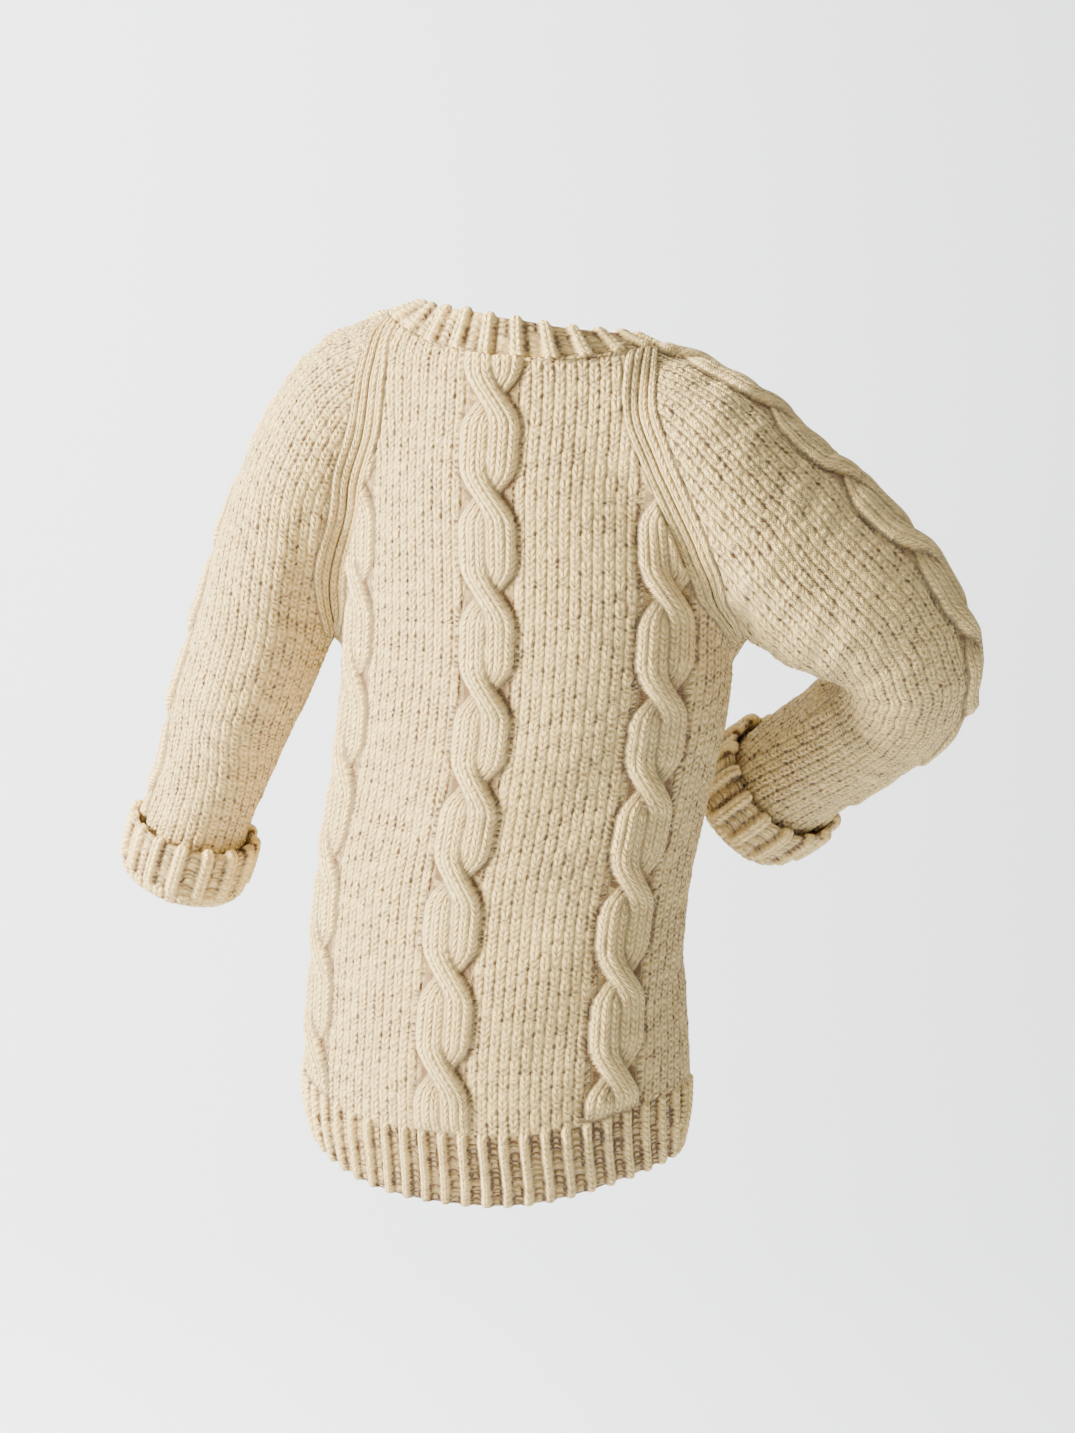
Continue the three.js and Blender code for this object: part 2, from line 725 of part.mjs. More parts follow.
// sleeves: rings round the arm below the underarm, then rows over the shoulder
const squareTo = (axis, v) => unit(sub(v, scale(axis, dot(v, axis))));
function sleeveFrames(side) {
  const sleeve = SLEEVES[side];
  const holes = ARMHOLES[side];
  const under = holes.back[0].point;
  let start = 0;
  for (let run = 0; run < sleeve.total; run += 2) {
    if (length(sub(xyz(sleeve.read(run)), under)) < length(sub(xyz(sleeve.read(start)), under))) start = run;
  }
  const direction = (run) => unit(sub(
    xyz(sleeve.read(Math.min(run + 16, sleeve.total))), xyz(sleeve.read(run - 16))));
  const centre = xyz(sleeve.read(start));
  const out = unit(sub(centre, under));
  const along = squareTo(out, sub(holes.back[1].point, holes.front[1].point));
  return { sleeve, holes, under, start, centre, along, out, direction };
}
function ring(side, centre, toBack, out, from, to, samples) {
  const form = (p) => sleeveDistance(p, SLEEVES[side].chain);
  return Array.from({ length: samples + 1 }, (_, i) => {
    const angle = lerp(from, to, i / samples);
    return leave(centre, add(scale(toBack, Math.cos(angle)), scale(out, Math.sin(angle))), form);
  });
}
// rings below the underarm: the first lies in the armhole's plane, and they turn square to the arm
const RING_STEP = 4;
const RING_TURN = 120;
function ringsAlong(side) {
  const f = sleeveFrames(side);
  const rings = [];
  let squareOut = f.out;
  let squareBack = f.along;
  for (let run = f.start; run <= f.sleeve.total - 20; run += RING_STEP) {
    const d = f.direction(run);
    squareOut = squareTo(d, squareOut);
    const crossed = unit(cross(squareOut, d));
    squareBack = dot(crossed, squareBack) < 0 ? scale(crossed, -1) : crossed;
    const share = smooth(0, RING_TURN, run - f.start);
    rings.push({
      centre: xyz(f.sleeve.read(run)),
      out: unit(mix(f.out, squareOut, share)),
      toBack: unit(mix(f.along, squareBack, share)),
    });
  }
  return { ...f, rings };
}
const SLEEVE_LENGTH = { left: 247, right: 344 };
const FRAMES = { left: ringsAlong('left'), right: ringsAlong('right') };
function frameAt(side, distance) {
  const { rings } = FRAMES[side];
  const place = distance / RING_STEP;
  const i = clamp(Math.floor(place), 0, rings.length - 2);
  const k = clamp(place - i, 0, 1);
  const a = rings[i];
  const b = rings[i + 1];
  return {
    centre: mix(a.centre, b.centre, k),
    out: unit(mix(a.out, b.out, k)),
    toBack: unit(mix(a.toBack, b.toBack, k)),
  };
}
const RING_SAMPLES = 48;
const CAP_DEPTH = 12;
function sleevePanel(side) {
  const frames = FRAMES[side];
  const { holes } = frames;
  const reach = SLEEVE_LENGTH[side];
  const count = Math.round(reach / ROW_STEP / 2) * 2;
  const marks = columnPlaces(SLEEVE_CABLES, -300, 300, GROUND_STEP);
  const innerMarks = columnPlaces([], -300, 300, 22);
  const rows = [];
  const halfGap = SEAM_GAP / 2;
  // the last ring has the cuff's own points
  const cuffRing = cuffEdge(side);
  rows.push({ outer: cuffRing, inner: cuffRing, closed: true });
  let run = 0;
  for (let i = 1; i < count; i += 1) {
    const distance = reach - reach * i / count;
    const frame = frameAt(side, distance);
    const points = ring(
      side, frame.centre, frame.toBack, frame.out, -Math.PI / 2, Math.PI * 1.5, RING_SAMPLES).map(settle);
    const curve = measured(points, RING_SAMPLES / 2);
    run = reach - distance;
    const seam = station(curve.at(curve.low));
    const outer = insideOf(marks, curve.low, curve.high, 10).map((across) => station(
      curve.at(across), cablesRelief(SLEEVE_CABLES, across, run - SLEEVE_CROSSING_HEIGHT, curve.high)));
    const inner = insideOf(innerMarks, curve.low, curve.high, 16).map((across) => station(curve.at(across)));
    rows.push({ outer: [seam, ...outer], inner: [seam, ...inner], closed: true });
  }
  // rows from the underarm to the neck
  const backCorner = holes.back[ARMHOLE_ROWS].point;
  const frontCorner = holes.front[ARMHOLE_ROWS].point;
  const ridge = neckSeam[side === 'left' ? 26 : 74].point;
  const outAtNeck = unit(sub(ridge, mix(backCorner, frontCorner, 0.5)));
  const armDepth = length(sub(frames.centre, frames.under));
  let previousTop = null;
  for (let i = 0; i < ARMHOLE_ROWS; i += 1) {
    const share = i / ARMHOLE_ROWS;
    const b = holes.back[i];
    const f = holes.front[i];
    const out = unit(mix(frames.out, outAtNeck, share));
    const toBack = i ? squareTo(out, sub(b.point, f.point)) : frames.along;
    const depth = lerp(armDepth, CAP_DEPTH, clamp(share / 0.85, 0, 1));
    const centre = add(mix(b.point, f.point, 0.5), scale(out, depth));
    const angleIn = (p) => {
      const d = sub(p, centre);
      return Math.atan2(dot(d, out), dot(d, toBack));
    };
    const from = i ? angleIn(b.point) : -Math.PI / 2;
    let to = i ? angleIn(f.point) : Math.PI * 1.5;
    if (to < from + 1) to += Math.PI * 2;
    const guesses = ring(side, centre, toBack, out, from, to, RING_SAMPLES);
    const points = curveThrough((k) => guesses[k], RING_SAMPLES, RING_SAMPLES / 2, b.point, f.point);
    const middle = RING_SAMPLES * (Math.PI / 2 - from) / (to - from);
    const curve = measured(points, middle);
    const topPoint = curve.at(0);
    run += previousTop ? length(sub(topPoint, previousTop)) : reach / count;
    previousTop = topPoint;
    const outer = insideOf(marks, curve.low, curve.high, 10).map((across) => station(
      curve.at(across),
      cablesRelief(SLEEVE_CABLES, across, run - SLEEVE_CROSSING_HEIGHT, across < 0 ? -curve.low : curve.high)));
    const inner = insideOf(innerMarks, curve.low, curve.high, 16).map((across) => station(curve.at(across)));
    const first = moved(b, b.toBody, -halfGap);
    const last = moved(f, f.toBody, -halfGap);
    const row = i
      ? { outer: [first, ...outer, last] }
      : { outer: [first, ...outer], closed: true };
    row.inner = i ? [first, ...inner, last] : [first, ...inner];
    rows.push(row);
  }
  const from = side === 'left' ? NECK_CORNERS.backLeft : NECK_CORNERS.backRight;
  const to = side === 'left' ? NECK_CORNERS.frontLeft : NECK_CORNERS.frontRight;
  const step = Math.sign(to - from);
  const neckRow = [];
  for (let k = from; k !== to + step; k += step) {
    const s = neckSeam[k];
    let at = moved(s, s.up, -halfGap);
    if (k === from) at = moved(at, holes.back[ARMHOLE_ROWS].toBody, -halfGap);
    if (k === to) at = moved(at, holes.front[ARMHOLE_ROWS].toBody, -halfGap);
    neckRow.push(at);
  }
  rows.push({ outer: neckRow, inner: neckRow.filter((_, i) => i % 2 === 0) });
  return panel(rows);
}
const CUFF_POINTS = CUFF_RIBS * POINTS_PER_RIB;
function cuffRingAt(side, distance, points) {
  const frame = frameAt(side, distance);
  const dense = ring(side, frame.centre, frame.toBack, frame.out, -Math.PI / 2, Math.PI * 1.5, 72);
  return evenly(dense, points).map((p) => station(p));
}
function cuffEdge(side) {
  return cuffRingAt(side, SLEEVE_LENGTH[side], CUFF_POINTS / 2);
}

// turned-back cuff: a fold of cloth with an inner and an outer leg
const CUFF_PROFILE = column(['up', 'out', 'ribbed'], [
  [46, -3, 0],
  [5, -3, 0],
  [0, 1, 0],
  [0, 5, 0],
  [5, 9, 1],
  [30, 10.5, 1],
  [56, 10, 1],
  [56, 6, 0],
  [9, 4.5, 0],
  [6, 2, 0],
  [10, 0, 0],
  [46, 0, 0],
]);
function cuff(side) {
  const cloth = new Cloth();
  const bottom = SLEEVE_LENGTH[side] + CUFF_INNER_TOP;
  const rows = CUFF_PROFILE.map((row, i) => {
    const edge = i === 0 || i === CUFF_PROFILE.length - 1;
    const ribbed = row.ribbed === 1;
    const distance = edge ? SLEEVE_LENGTH[side] + SEAM_GAP : bottom - row.up;
    const stations = cuffRingAt(side, distance, ribbed ? CUFF_POINTS : CUFF_POINTS / 2);
    const list = stations.map((s, k) => cloth.put(
      add(s.point, scale(s.normal, row.out + (ribbed ? ribRelief(k) : 0)))));
    list.push(list[0]);
    return list;
  });
  rows.forEach((row, i) => cloth.strip(row, rows[(i + 1) % rows.length]));
  return cloth;
}

// neckband: up from the neck seam
function neckband() {
  const lower = neckSeam.map((s) => moved(s, s.up, SEAM_GAP / 2));
  const rowAt = (share, relief) => neckSeam.map((s, k) => {
    const p = neckPoint(s.angle, share);
    return { point: p, normal: normalAt(p), relief: relief ? ribRelief(k) : 0 };
  });
  const even = (row) => row.filter((_, k) => k % 2 === 0);
  const rows = [
    { outer: lower, inner: even(lower), closed: true },
    { outer: rowAt(0.12, true), closed: true },
    { outer: rowAt(0.55, true), inner: even(rowAt(0.55, false)), closed: true },
    { outer: rowAt(1, true), inner: even(rowAt(1, false)), closed: true },
  ];
  return panel(rows);
}

const garment = new THREE.Group();
garment.name = 'cable_knit_sweater';
function give(name, cloth, colour) {
  const turned = cloth.volume() < 0;
  const geometry = new THREE.BufferGeometry();
  geometry.setAttribute('position', new THREE.Float32BufferAttribute(cloth.points.flat(), 3));
  geometry.setIndex(cloth.faces.flatMap(([a, b, c]) => (turned ? [a, c, b] : [a, b, c])));
  geometry.computeVertexNormals();
  const material = new THREE.MeshStandardMaterial({ color: colour, roughness: 0.95, metalness: 0 });
  const mesh = new THREE.Mesh(geometry, material);
  mesh.name = name;
  garment.add(mesh);
}
give('back', bodyPanel('back'), 0xe9d9b6);
give('front', bodyPanel('front'), 0xe7d7b4);
give('sleeve_left', sleevePanel('left'), 0xe8d8b5);
give('sleeve_right', sleevePanel('right'), 0xe8d8b6);
give('neckband', neckband(), 0xebdbb9);
give('cuff_left', cuff('left'), 0xe6d5b1);
give('cuff_right', cuff('right'), 0xe6d5b2);

export default garment;
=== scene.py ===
# Hip-length hand-knit raglan sweater in thick cream wool: rope cables on moss stitch, ribbed edges.
# The tables are in millimetres, as the solids' are, and meshes are made in metres.
import math
import bpy
import numpy as np
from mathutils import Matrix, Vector


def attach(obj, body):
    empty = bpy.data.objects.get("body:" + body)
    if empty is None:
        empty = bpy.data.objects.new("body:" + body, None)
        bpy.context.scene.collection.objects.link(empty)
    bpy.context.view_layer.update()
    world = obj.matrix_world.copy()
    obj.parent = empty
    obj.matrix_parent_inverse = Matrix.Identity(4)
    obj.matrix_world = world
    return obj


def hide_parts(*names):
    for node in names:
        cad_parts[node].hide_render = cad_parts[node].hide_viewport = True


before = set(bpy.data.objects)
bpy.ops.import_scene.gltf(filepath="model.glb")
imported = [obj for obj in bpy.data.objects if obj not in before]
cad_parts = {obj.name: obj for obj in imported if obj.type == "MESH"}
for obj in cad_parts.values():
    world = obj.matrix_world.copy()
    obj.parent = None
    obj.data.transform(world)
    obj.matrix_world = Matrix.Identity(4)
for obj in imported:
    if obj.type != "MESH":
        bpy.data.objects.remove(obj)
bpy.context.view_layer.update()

MM = 0.001
RANDOM_SEED = 7

# cloth, seams and stitches, in millimetres
WALL = 3.0
SEAM_GAP = 0.3
RIB_RELIEF = 2.6
STITCH_WIDTH = 9.7
STITCH_HEIGHT = 5.8
RIB_PITCH = 19.2
HEM_RIB_HEIGHT = 68.0
CABLE_WIDTH = 54.0
CABLE_REPEAT = 84.7
CABLE_RELIEF = 6.4
BODY_CABLES = (-158.0, 0.0, 158.0)
BODY_CROSSING_HEIGHT = -54.0
SLEEVE_CROSSING_HEIGHT = 40.0

# levels of the body
HEM_LEVEL = -772.0
HEM_SIDE_LIFT = 28.0
HEM_LIFT_FADE = 270.0
SHOULDER_TILT = math.tan(math.radians(7))
BLEND = 32.0

# neckband
NECK_POINTS = 100
NECK_MIDDLE = np.array([4.0, 4.0, -90.0])
NECK_TILT = 3.5
# which of those points each seam meets, and where each sleeve's middle is
NECK_CORNERS = {"back_left": 18, "front_left": 34, "front_right": 66, "back_right": 82}
NECK_SHOULDERS = {"left": 26, "right": 74}
# how steeply the seam and the top edge are seen from that middle: angle from the back, seam, top
NECK_VIEWS = [
    (0, 41, 55),
    (20, 40.7, 54.6),
    (45, 38, 51.5),
    (90, 34, 44.5),
    (125, 20.5, 36),
    (150, 8.5, 27),
    (168, 4.2, 23.6),
    (180, 3.6, 23.2),
]

# horizontal sections of the body: z, x, y, half width, half depth, turn
BODY_SECTIONS = [
    (-790, 36, 6, 168, 118, 4),
    (-765, 36, 6, 172, 119, 4),
    (-700, 36, 6, 184, 126, 4),
    (-600, 36, 3, 180, 124, 3),
    (-510, 34, -3, 177, 114, 1),
    (-420, 20, -7, 180, 115, 0),
    (-320, 4, -8, 184, 116, 0),
    (-220, 0, -8, 178, 114, 0),
    (-130, 2, -6, 160, 106, 0),
    (-60, 4, -4, 142, 93, 0),
    (-20, 4, 1, 124, 82, 0),
    (0, 4, 3, 106, 75, 0),
    (14, 4, 5, 88, 69, 0),
    (34, 4, 7, 70, 60, 0),
    (70, 4, 8, 60, 52, 0),
]

# stations along each sleeve, from inside the shoulder to beyond the cuff: x, y, z, radius, stretch
SLEEVE_STATIONS = {
    "left": [
        (60, 0, -38, 46, 0),
        (118, 2, -42, 58, 0),
        (172, 5, -74, 66, 0),
        (212, 10, -140, 68, 0),
        (256, 13, -250, 64, 0),
        (280, 10, -310, 62, 0),
        (301, 6, -352, 59, 0),
        (322, 0, -402, 54, 0),
        (343, -3, -450, 50, 0),
        (362, -7, -498, 49, 0),
        (385, -12, -560, 49, 0),
    ],
    "right": [
        (-50, 0, -66, 46, 0),
        (-110, 4, -76, 60, 0),
        (-160, 2, -106, 70, 0.02),
        (-205, -10, -160, 78, 0.12),
        (-254, -32, -204, 79, 0.14),
        (-304, -53, -245, 70, 0.06),
        (-326, -77, -292, 62, 0),
        (-306, -104, -334, 59, 0),
        (-269, -122, -362, 58, 0),
        (-233, -138, -389, 56, 0),
        (-199, -152, -416, 54, 0),
        (-165, -167, -443, 53, 0),
        (-127, -183, -473, 52, 0),
        (-85, -200, -505, 51, 0),
    ],
}
SLEEVE_LENGTH = {"left": 247.0, "right": 344.0}

# raglan seams: points they pass, by share of the way from underarm to neck: share, x, y, z
RAGLANS = {
    "back_left": [
        (0, 196, 2, -287),
        (0.2, 192, 34, -236),
        (0.41, 161, 55, -169),
        (0.52, 153, 61, -133),
        (0.66, 138, 64, -93),
        (0.86, 127, 60, -42),
        (1, 112, 50, -5),
    ],
    "front_left": [
        (0, 196, 2, -287),
        (0.2, 192, -34, -236),
        (0.41, 164, -60, -172),
        (0.52, 156, -68, -140),
        (0.66, 141, -76, -104),
        (0.86, 118, -76, -66),
        (1, 96, -70, -40),
    ],
    "back_right": [
        (0, -196, -21, -270),
        (0.186, -185, 15, -240),
        (0.378, -172, 48, -189),
        (0.604, -145, 66, -124),
        (0.774, -123, 66, -74),
        (1, -108, 48, -28),
    ],
    "front_right": [
        (0, -196, -21, -270),
        (0.186, -186, -52, -240),
        (0.378, -173, -68, -189),
        (0.604, -146, -80, -132),
        (0.774, -122, -80, -96),
        (1, -94, -68, -60),
    ],
}


# large soft folds, troughs pressed in along short lines: start, end, width, depth
FOLDS = [
    ((-262, -80, -296), (-326, -18, -262), 20, 5),
    ((-196, 50, -262), (-262, 22, -268), 20, 4),
    ((-200, -60, -250), (-262, -84, -262), 20, 4),
    ((-160, 60, -330), (-60, 100, -430), 22, 4),
    ((170, 66, -330), (96, 96, -440), 24, 4),
    ((-150, -80, -300), (-70, -116, -420), 24, 4),
    ((150, -84, -300), (90, -116, -420), 24, 4),
    ((-90, 92, -470), (-20, 106, -520), 20, 3),
    ((120, -90, -480), (30, -118, -560), 24, 4),
    ((338, 44, -388), (378, 10, -430), 18, 3),
    ((296, -50, -380), (334, -56, -410), 18, 3),
    ((-214, -100, -340), (-240, -160, -344), 18, 3),
]

# smaller creases that only the cloth has: start, end, width, depth, ridges where the depth is below zero
CREASES = [
    ((192, 60, -150), (206, 62, -262), 9, 5.0),
    ((182, 66, -176), (196, 70, -250), 8, -3.0),
    ((214, 44, -226), (262, 66, -286), 10, 3.0),
    ((206, -54, -170), (222, -48, -270), 9, 4.0),
    ((196, -62, -200), (208, -60, -262), 8, -2.5),
    ((-262, -62, -300), (-318, -112, -270), 8, 5.0),
    ((-276, -110, -318), (-330, -122, -300), 8, 3.5),
    ((-250, -84, -318), (-300, -150, -322), 9, 4.0),
    ((-286, -60, -306), (-352, -60, -290), 9, 3.0),
    ((-236, -112, -346), (-262, -166, -350), 8, 3.0),
    ((-206, -128, -366), (-228, -186, -378), 9, -2.5),
    ((-190, -196, -430), (-214, -170, -452), 8, 3.0),
    ((-186, 58, -210), (-240, 30, -240), 10, 4.0),
    ((-190, -66, -214), (-240, -78, -236), 10, 3.5),
    ((-186, 28, -250), (-206, 26, -246), 8, 3.0),
    ((270, 60, -330), (330, 50, -366), 9, 3.0),
    ((280, -40, -350), (326, -56, -376), 9, 3.0),
    ((316, 44, -420), (366, 34, -446), 9, 3.5),
    ((330, -40, -430), (384, -38, -456), 9, 3.0),
    ((352, 10, -470), (404, 20, -476), 8, 2.5),
    ((40, 112, -590), (140, 104, -640), 18, 2.5),
    ((-120, 96, -560), (-60, 112, -620), 18, 2.5),
    ((-20, 108, -330), (50, 112, -380), 20, 2.5),
    ((60, -122, -380), (-20, -124, -440), 20, 2.5),
    ((-90, -110, -560), (-10, -122, -640), 20, 2.5),
    ((190, -60, -620), (206, 20, -660), 16, 3.0),
    ((-136, -40, -560), (-140, 40, -600), 16, 3.0),
]


# small vector helpers on arrays whose last axis is x, y, z
def unit(v):
    return v / np.maximum(np.linalg.norm(v, axis=-1, keepdims=True), 1e-9)


def dot(a, b):
    return np.sum(a * b, axis=-1)


def mix(a, b, share):
    return a + (b - a) * share


def smooth(low, high, x):
    t = np.clip((x - low) / (high - low), 0, 1)
    return t * t * (3 - 2 * t)


def squared_to(axis, v):
    return unit(v - axis * dot(v, axis)[..., None])


def lengths_along(points):
    """The length of a row of points up to each one."""
    return np.concatenate([[0], np.cumsum(np.linalg.norm(np.diff(points, axis=0), axis=-1))])


def stepped(points, run, places):
    """Points at the given places along a row that is joined by straight steps."""
    return np.stack([np.interp(places, run, points[:, k]) for k in range(3)], axis=-1)


# smooth curve through a table's rows, read by its first column or by keys of its own
def curve(keys, values):
    keys = np.asarray(keys, float)
    values = np.asarray(values, float)
    after = np.minimum(np.arange(len(keys)) + 1, len(keys) - 1)
    before = np.maximum(np.arange(len(keys)) - 1, 0)
    span = keys[after] - keys[before]
    slopes = (values[after] - values[before]) / span.reshape((-1,) + (1,) * (values.ndim - 1))

    def read(x):
        x = np.clip(np.asarray(x, float), keys[0], keys[-1])
        i = np.clip(np.searchsorted(keys, x, side="right") - 1, 0, len(keys) - 2)
        shape = np.shape(x) + (1,) * (values.ndim - 1)
        h = (keys[i + 1] - keys[i]).reshape(shape)
        t = (x - keys[i]).reshape(shape) / h
        near = (1 + 2 * t) * (1 - t) ** 2 * values[i] + t * (1 - t) ** 2 * h * slopes[i]
        far = t * t * (3 - 2 * t) * values[i + 1] + t * t * (t - 1) * h * slopes[i + 1]
        return near + far

    return read


def table_curve(rows):
    rows = np.asarray(rows, float)
    return curve(rows[:, 0], rows[:, 1:])


body_section = table_curve(BODY_SECTIONS)
neck_view = table_curve(NECK_VIEWS)


class Sleeve:
    """A sleeve's centre line, read by its length, and the chain of short cones it is made of."""

    def __init__(self, stations):
        rows = np.asarray(stations, float)
        run = lengths_along(rows[:, :3])
        self.total = run[-1]
        self.read = curve(run, rows)
        self.chain = self.read(np.linspace(0, self.total, 26))

    def distance(self, p):
        best = np.full(p.shape[:-1], 1e9)
        for a, b in zip(self.chain[:-1], self.chain[1:]):
            ab = b[:3] - a[:3]
            ap = p - a[:3]
            t = np.clip(ap @ ab / (ab @ ab), 0, 1)
            w = ap - t[..., None] * ab
            n = np.linalg.norm(w, axis=-1) + 1e-9
            stretch = mix(a[4], b[4], t) * (2 * (w[..., 2] / n) ** 2 - 1)
            best = np.minimum(best, n - mix(a[3], b[3], t) * (1 + stretch))
        return best


SLEEVES = {side: Sleeve(stations) for side, stations in SLEEVE_STATIONS.items()}


# the worn surface: body and sleeves, softly joined, with folds pressed in
def body_distance(p):
    tilt = SHOULDER_TILT * smooth(-300, 0, p[..., 2]) * p[..., 0]
    section = body_section(p[..., 2] - tilt)
    x, y, half_width, half_depth, turn = np.moveaxis(section, -1, 0)
    turn = np.radians(turn)
    dx = p[..., 0] - x
    dy = p[..., 1] - y
    u = np.cos(turn) * dx + np.sin(turn) * dy
    v = np.cos(turn) * dy - np.sin(turn) * dx
    k0 = np.hypot(u / half_width, v / half_depth)
    k1 = np.hypot(u / half_width**2, v / half_depth**2)
    return k0 * (k0 - 1) / np.maximum(k1, 1e-9)


def blended(a, b):
    h = np.clip(0.5 + 0.5 * (b - a) / BLEND, 0, 1)
    return mix(b, a, h) - BLEND * h * (1 - h)


def pressed(p, troughs):
    depth = np.zeros(p.shape[:-1])
    for start, end, width, deep in troughs:
        a = np.array(start, float)
        ab = np.array(end, float) - a
        ap = p - a
        t = np.clip(ap @ ab / (ab @ ab), 0, 1)
        w = ap - t[..., None] * ab
        depth += deep * np.exp(-dot(w, w) / (2 * width * width))
    return depth


def field(p):
    sleeves = [sleeve.distance(p) for sleeve in (SLEEVES["left"], SLEEVES["right"])]
    return blended(blended(body_distance(p), sleeves[0]), sleeves[1]) + pressed(p, FOLDS)


def normal_at(p):
    h = 2.5
    steps = np.eye(3) * h
    return unit(np.stack([field(p + step) - field(p - step) for step in steps], axis=-1))


def settle(p):
    for _ in range(6):
        p = p - normal_at(p) * (0.9 * field(p))[..., None]
    return p


# first point where each ray leaves a form
def leave(start, ray, form):
    step = 6.0
    ray = unit(ray)
    high = np.full(ray.shape[:-1], step)
    going = np.ones(high.shape, bool)
    while going.any() and high.max() < 460:
        going &= form(start + ray * high[..., None]) < 0
        high = np.where(going, high + step, high)
    low = high - step
    for _ in range(14):
        middle = (low + high) / 2
        inside = form(start + ray * middle[..., None]) < 0
        low = np.where(inside, middle, low)
        high = np.where(inside, high, middle)
    return start + ray * ((low + high) / 2)[..., None]


def heading(angle, lift):
    return np.stack([np.sin(angle) * np.cos(lift), np.cos(angle) * np.cos(lift), np.sin(lift)], axis=-1)


def axis_at(z):
    section = body_section(z)
    return np.stack([section[..., 0], section[..., 1], np.asarray(z, float)], axis=-1)


def angle_of(p):
    section = body_section(p[..., 2])
    return np.arctan2(p[..., 0] - section[..., 0], p[..., 1] - section[..., 1])


# neck seam, evenly stepped round the neck from the middle of the back
def neck_point(angle, share):
    degrees = np.degrees(angle)
    away = np.abs((degrees + 540) % 360 - 180)
    view = neck_view(away)
    lift = np.radians(mix(view[..., 0], view[..., 1], share) + NECK_TILT * np.sin(angle))
    return leave(NECK_MIDDLE, heading(angle, lift), field)


def evenly(points, count):
    run = lengths_along(points)
    return stepped(points, run, run[-1] * np.arange(count) / count)


def neck_angle(p):
    return np.arctan2(p[..., 0] - NECK_MIDDLE[0], p[..., 1] - NECK_MIDDLE[1])


def neck_ring(count):
    dense = neck_point(np.radians(np.arange(361.0)), 0)
    point = evenly(dense, count)
    along = np.roll(point, -1, axis=0) - np.roll(point, 1, axis=0)
    up = unit(np.cross(normal_at(point), unit(along)))
    toward_top = neck_point(neck_angle(point), 0.3) - point
    up *= np.sign(dot(up, toward_top))[..., None]
    return point, up


NECK_POINT = neck_ring(NECK_POINTS)[0]
NECK_DENSE = neck_ring(12 * NECK_POINTS)


# armhole seams, from the underarm to the neck, and each row's share of the way
ARMHOLE_ROWS = 32
ARMHOLE_SHARES = np.arange(ARMHOLE_ROWS + 1) / ARMHOLE_ROWS


def armhole(side):
    readers = {face: table_curve(RAGLANS[f"{face}_{side}"]) for face in ("back", "front")}
    corner = {face: NECK_POINT[NECK_CORNERS[f"{face}_{side}"]] for face in readers}

    def point_at(face, share):
        share = np.clip(share, 0, 1)
        passed = readers[face](share)
        return settle(mix(passed, corner[face], smooth(0.75, 1, share)[..., None]))

    out = {}
    half = 0.02
    for face in readers:
        point = point_at(face, ARMHOLE_SHARES)
        along = unit(point_at(face, ARMHOLE_SHARES + half) - point_at(face, ARMHOLE_SHARES - half))
        to_body = unit(np.cross(normal_at(point), along))
        section = body_section(point[:, 2])
        inward = np.stack([section[:, 0], section[:, 1], point[:, 2] - 60], axis=-1) - point
        to_body *= np.where(dot(to_body, inward) < 0, -1, 1)[:, None]
        out[face] = {"point": point, "to_body": to_body}
    return out


ARMHOLES = {side: armhole(side) for side in ("left", "right")}


# a row of guessed points, drawn to its two ends and settled on the worn surface
def curve_through(guess, start, end):
    samples = guess.shape[-2] - 1
    half = samples / 2
    k = np.arange(samples + 1)
    share = np.abs(k - half) / half
    pull = smooth(0.35, 1, share)[:, None]
    to_start = (start - guess[..., 0, :])[..., None, :]
    to_end = (end - guess[..., -1, :])[..., None, :]
    points = settle(guess + np.where((k <= half)[:, None], to_start, to_end) * pull)
    points[..., 0, :] = start
    points[..., -1, :] = end
    return points


def hem_lift(angle, z):
    return HEM_SIDE_LIFT * np.sin(angle) ** 4 * (1 - smooth(HEM_LEVEL, HEM_LEVEL + HEM_LIFT_FADE, z))


def side_seam(side, z):
    level = math.pi / 2 if side == "left" else -math.pi / 2
    corner = ARMHOLES[side]["back"]["point"][0]

    def at(height):
        angle = mix(level, angle_of(corner), smooth(corner[2] - 150, corner[2], height))
        height = height + hem_lift(angle, height)
        return settle(leave(axis_at(height), heading(angle, np.zeros_like(height)), body_distance))

    point = at(z)
    along = unit(at(z + 4) - at(z - 4))
    to_back = unit(np.cross(normal_at(point), along))
    to_back *= np.where(to_back[..., 1] < 0, -1, 1)[..., None]
    return point, to_back


# how finely a panel's smooth form is sampled, and how far its rows are evened at the underarm
SAMPLES = 56
COARSE_COLUMNS = 65
COARSE_STEP = 9.0
EVENED_ROWS = 7
EVENED_TURNS = 12


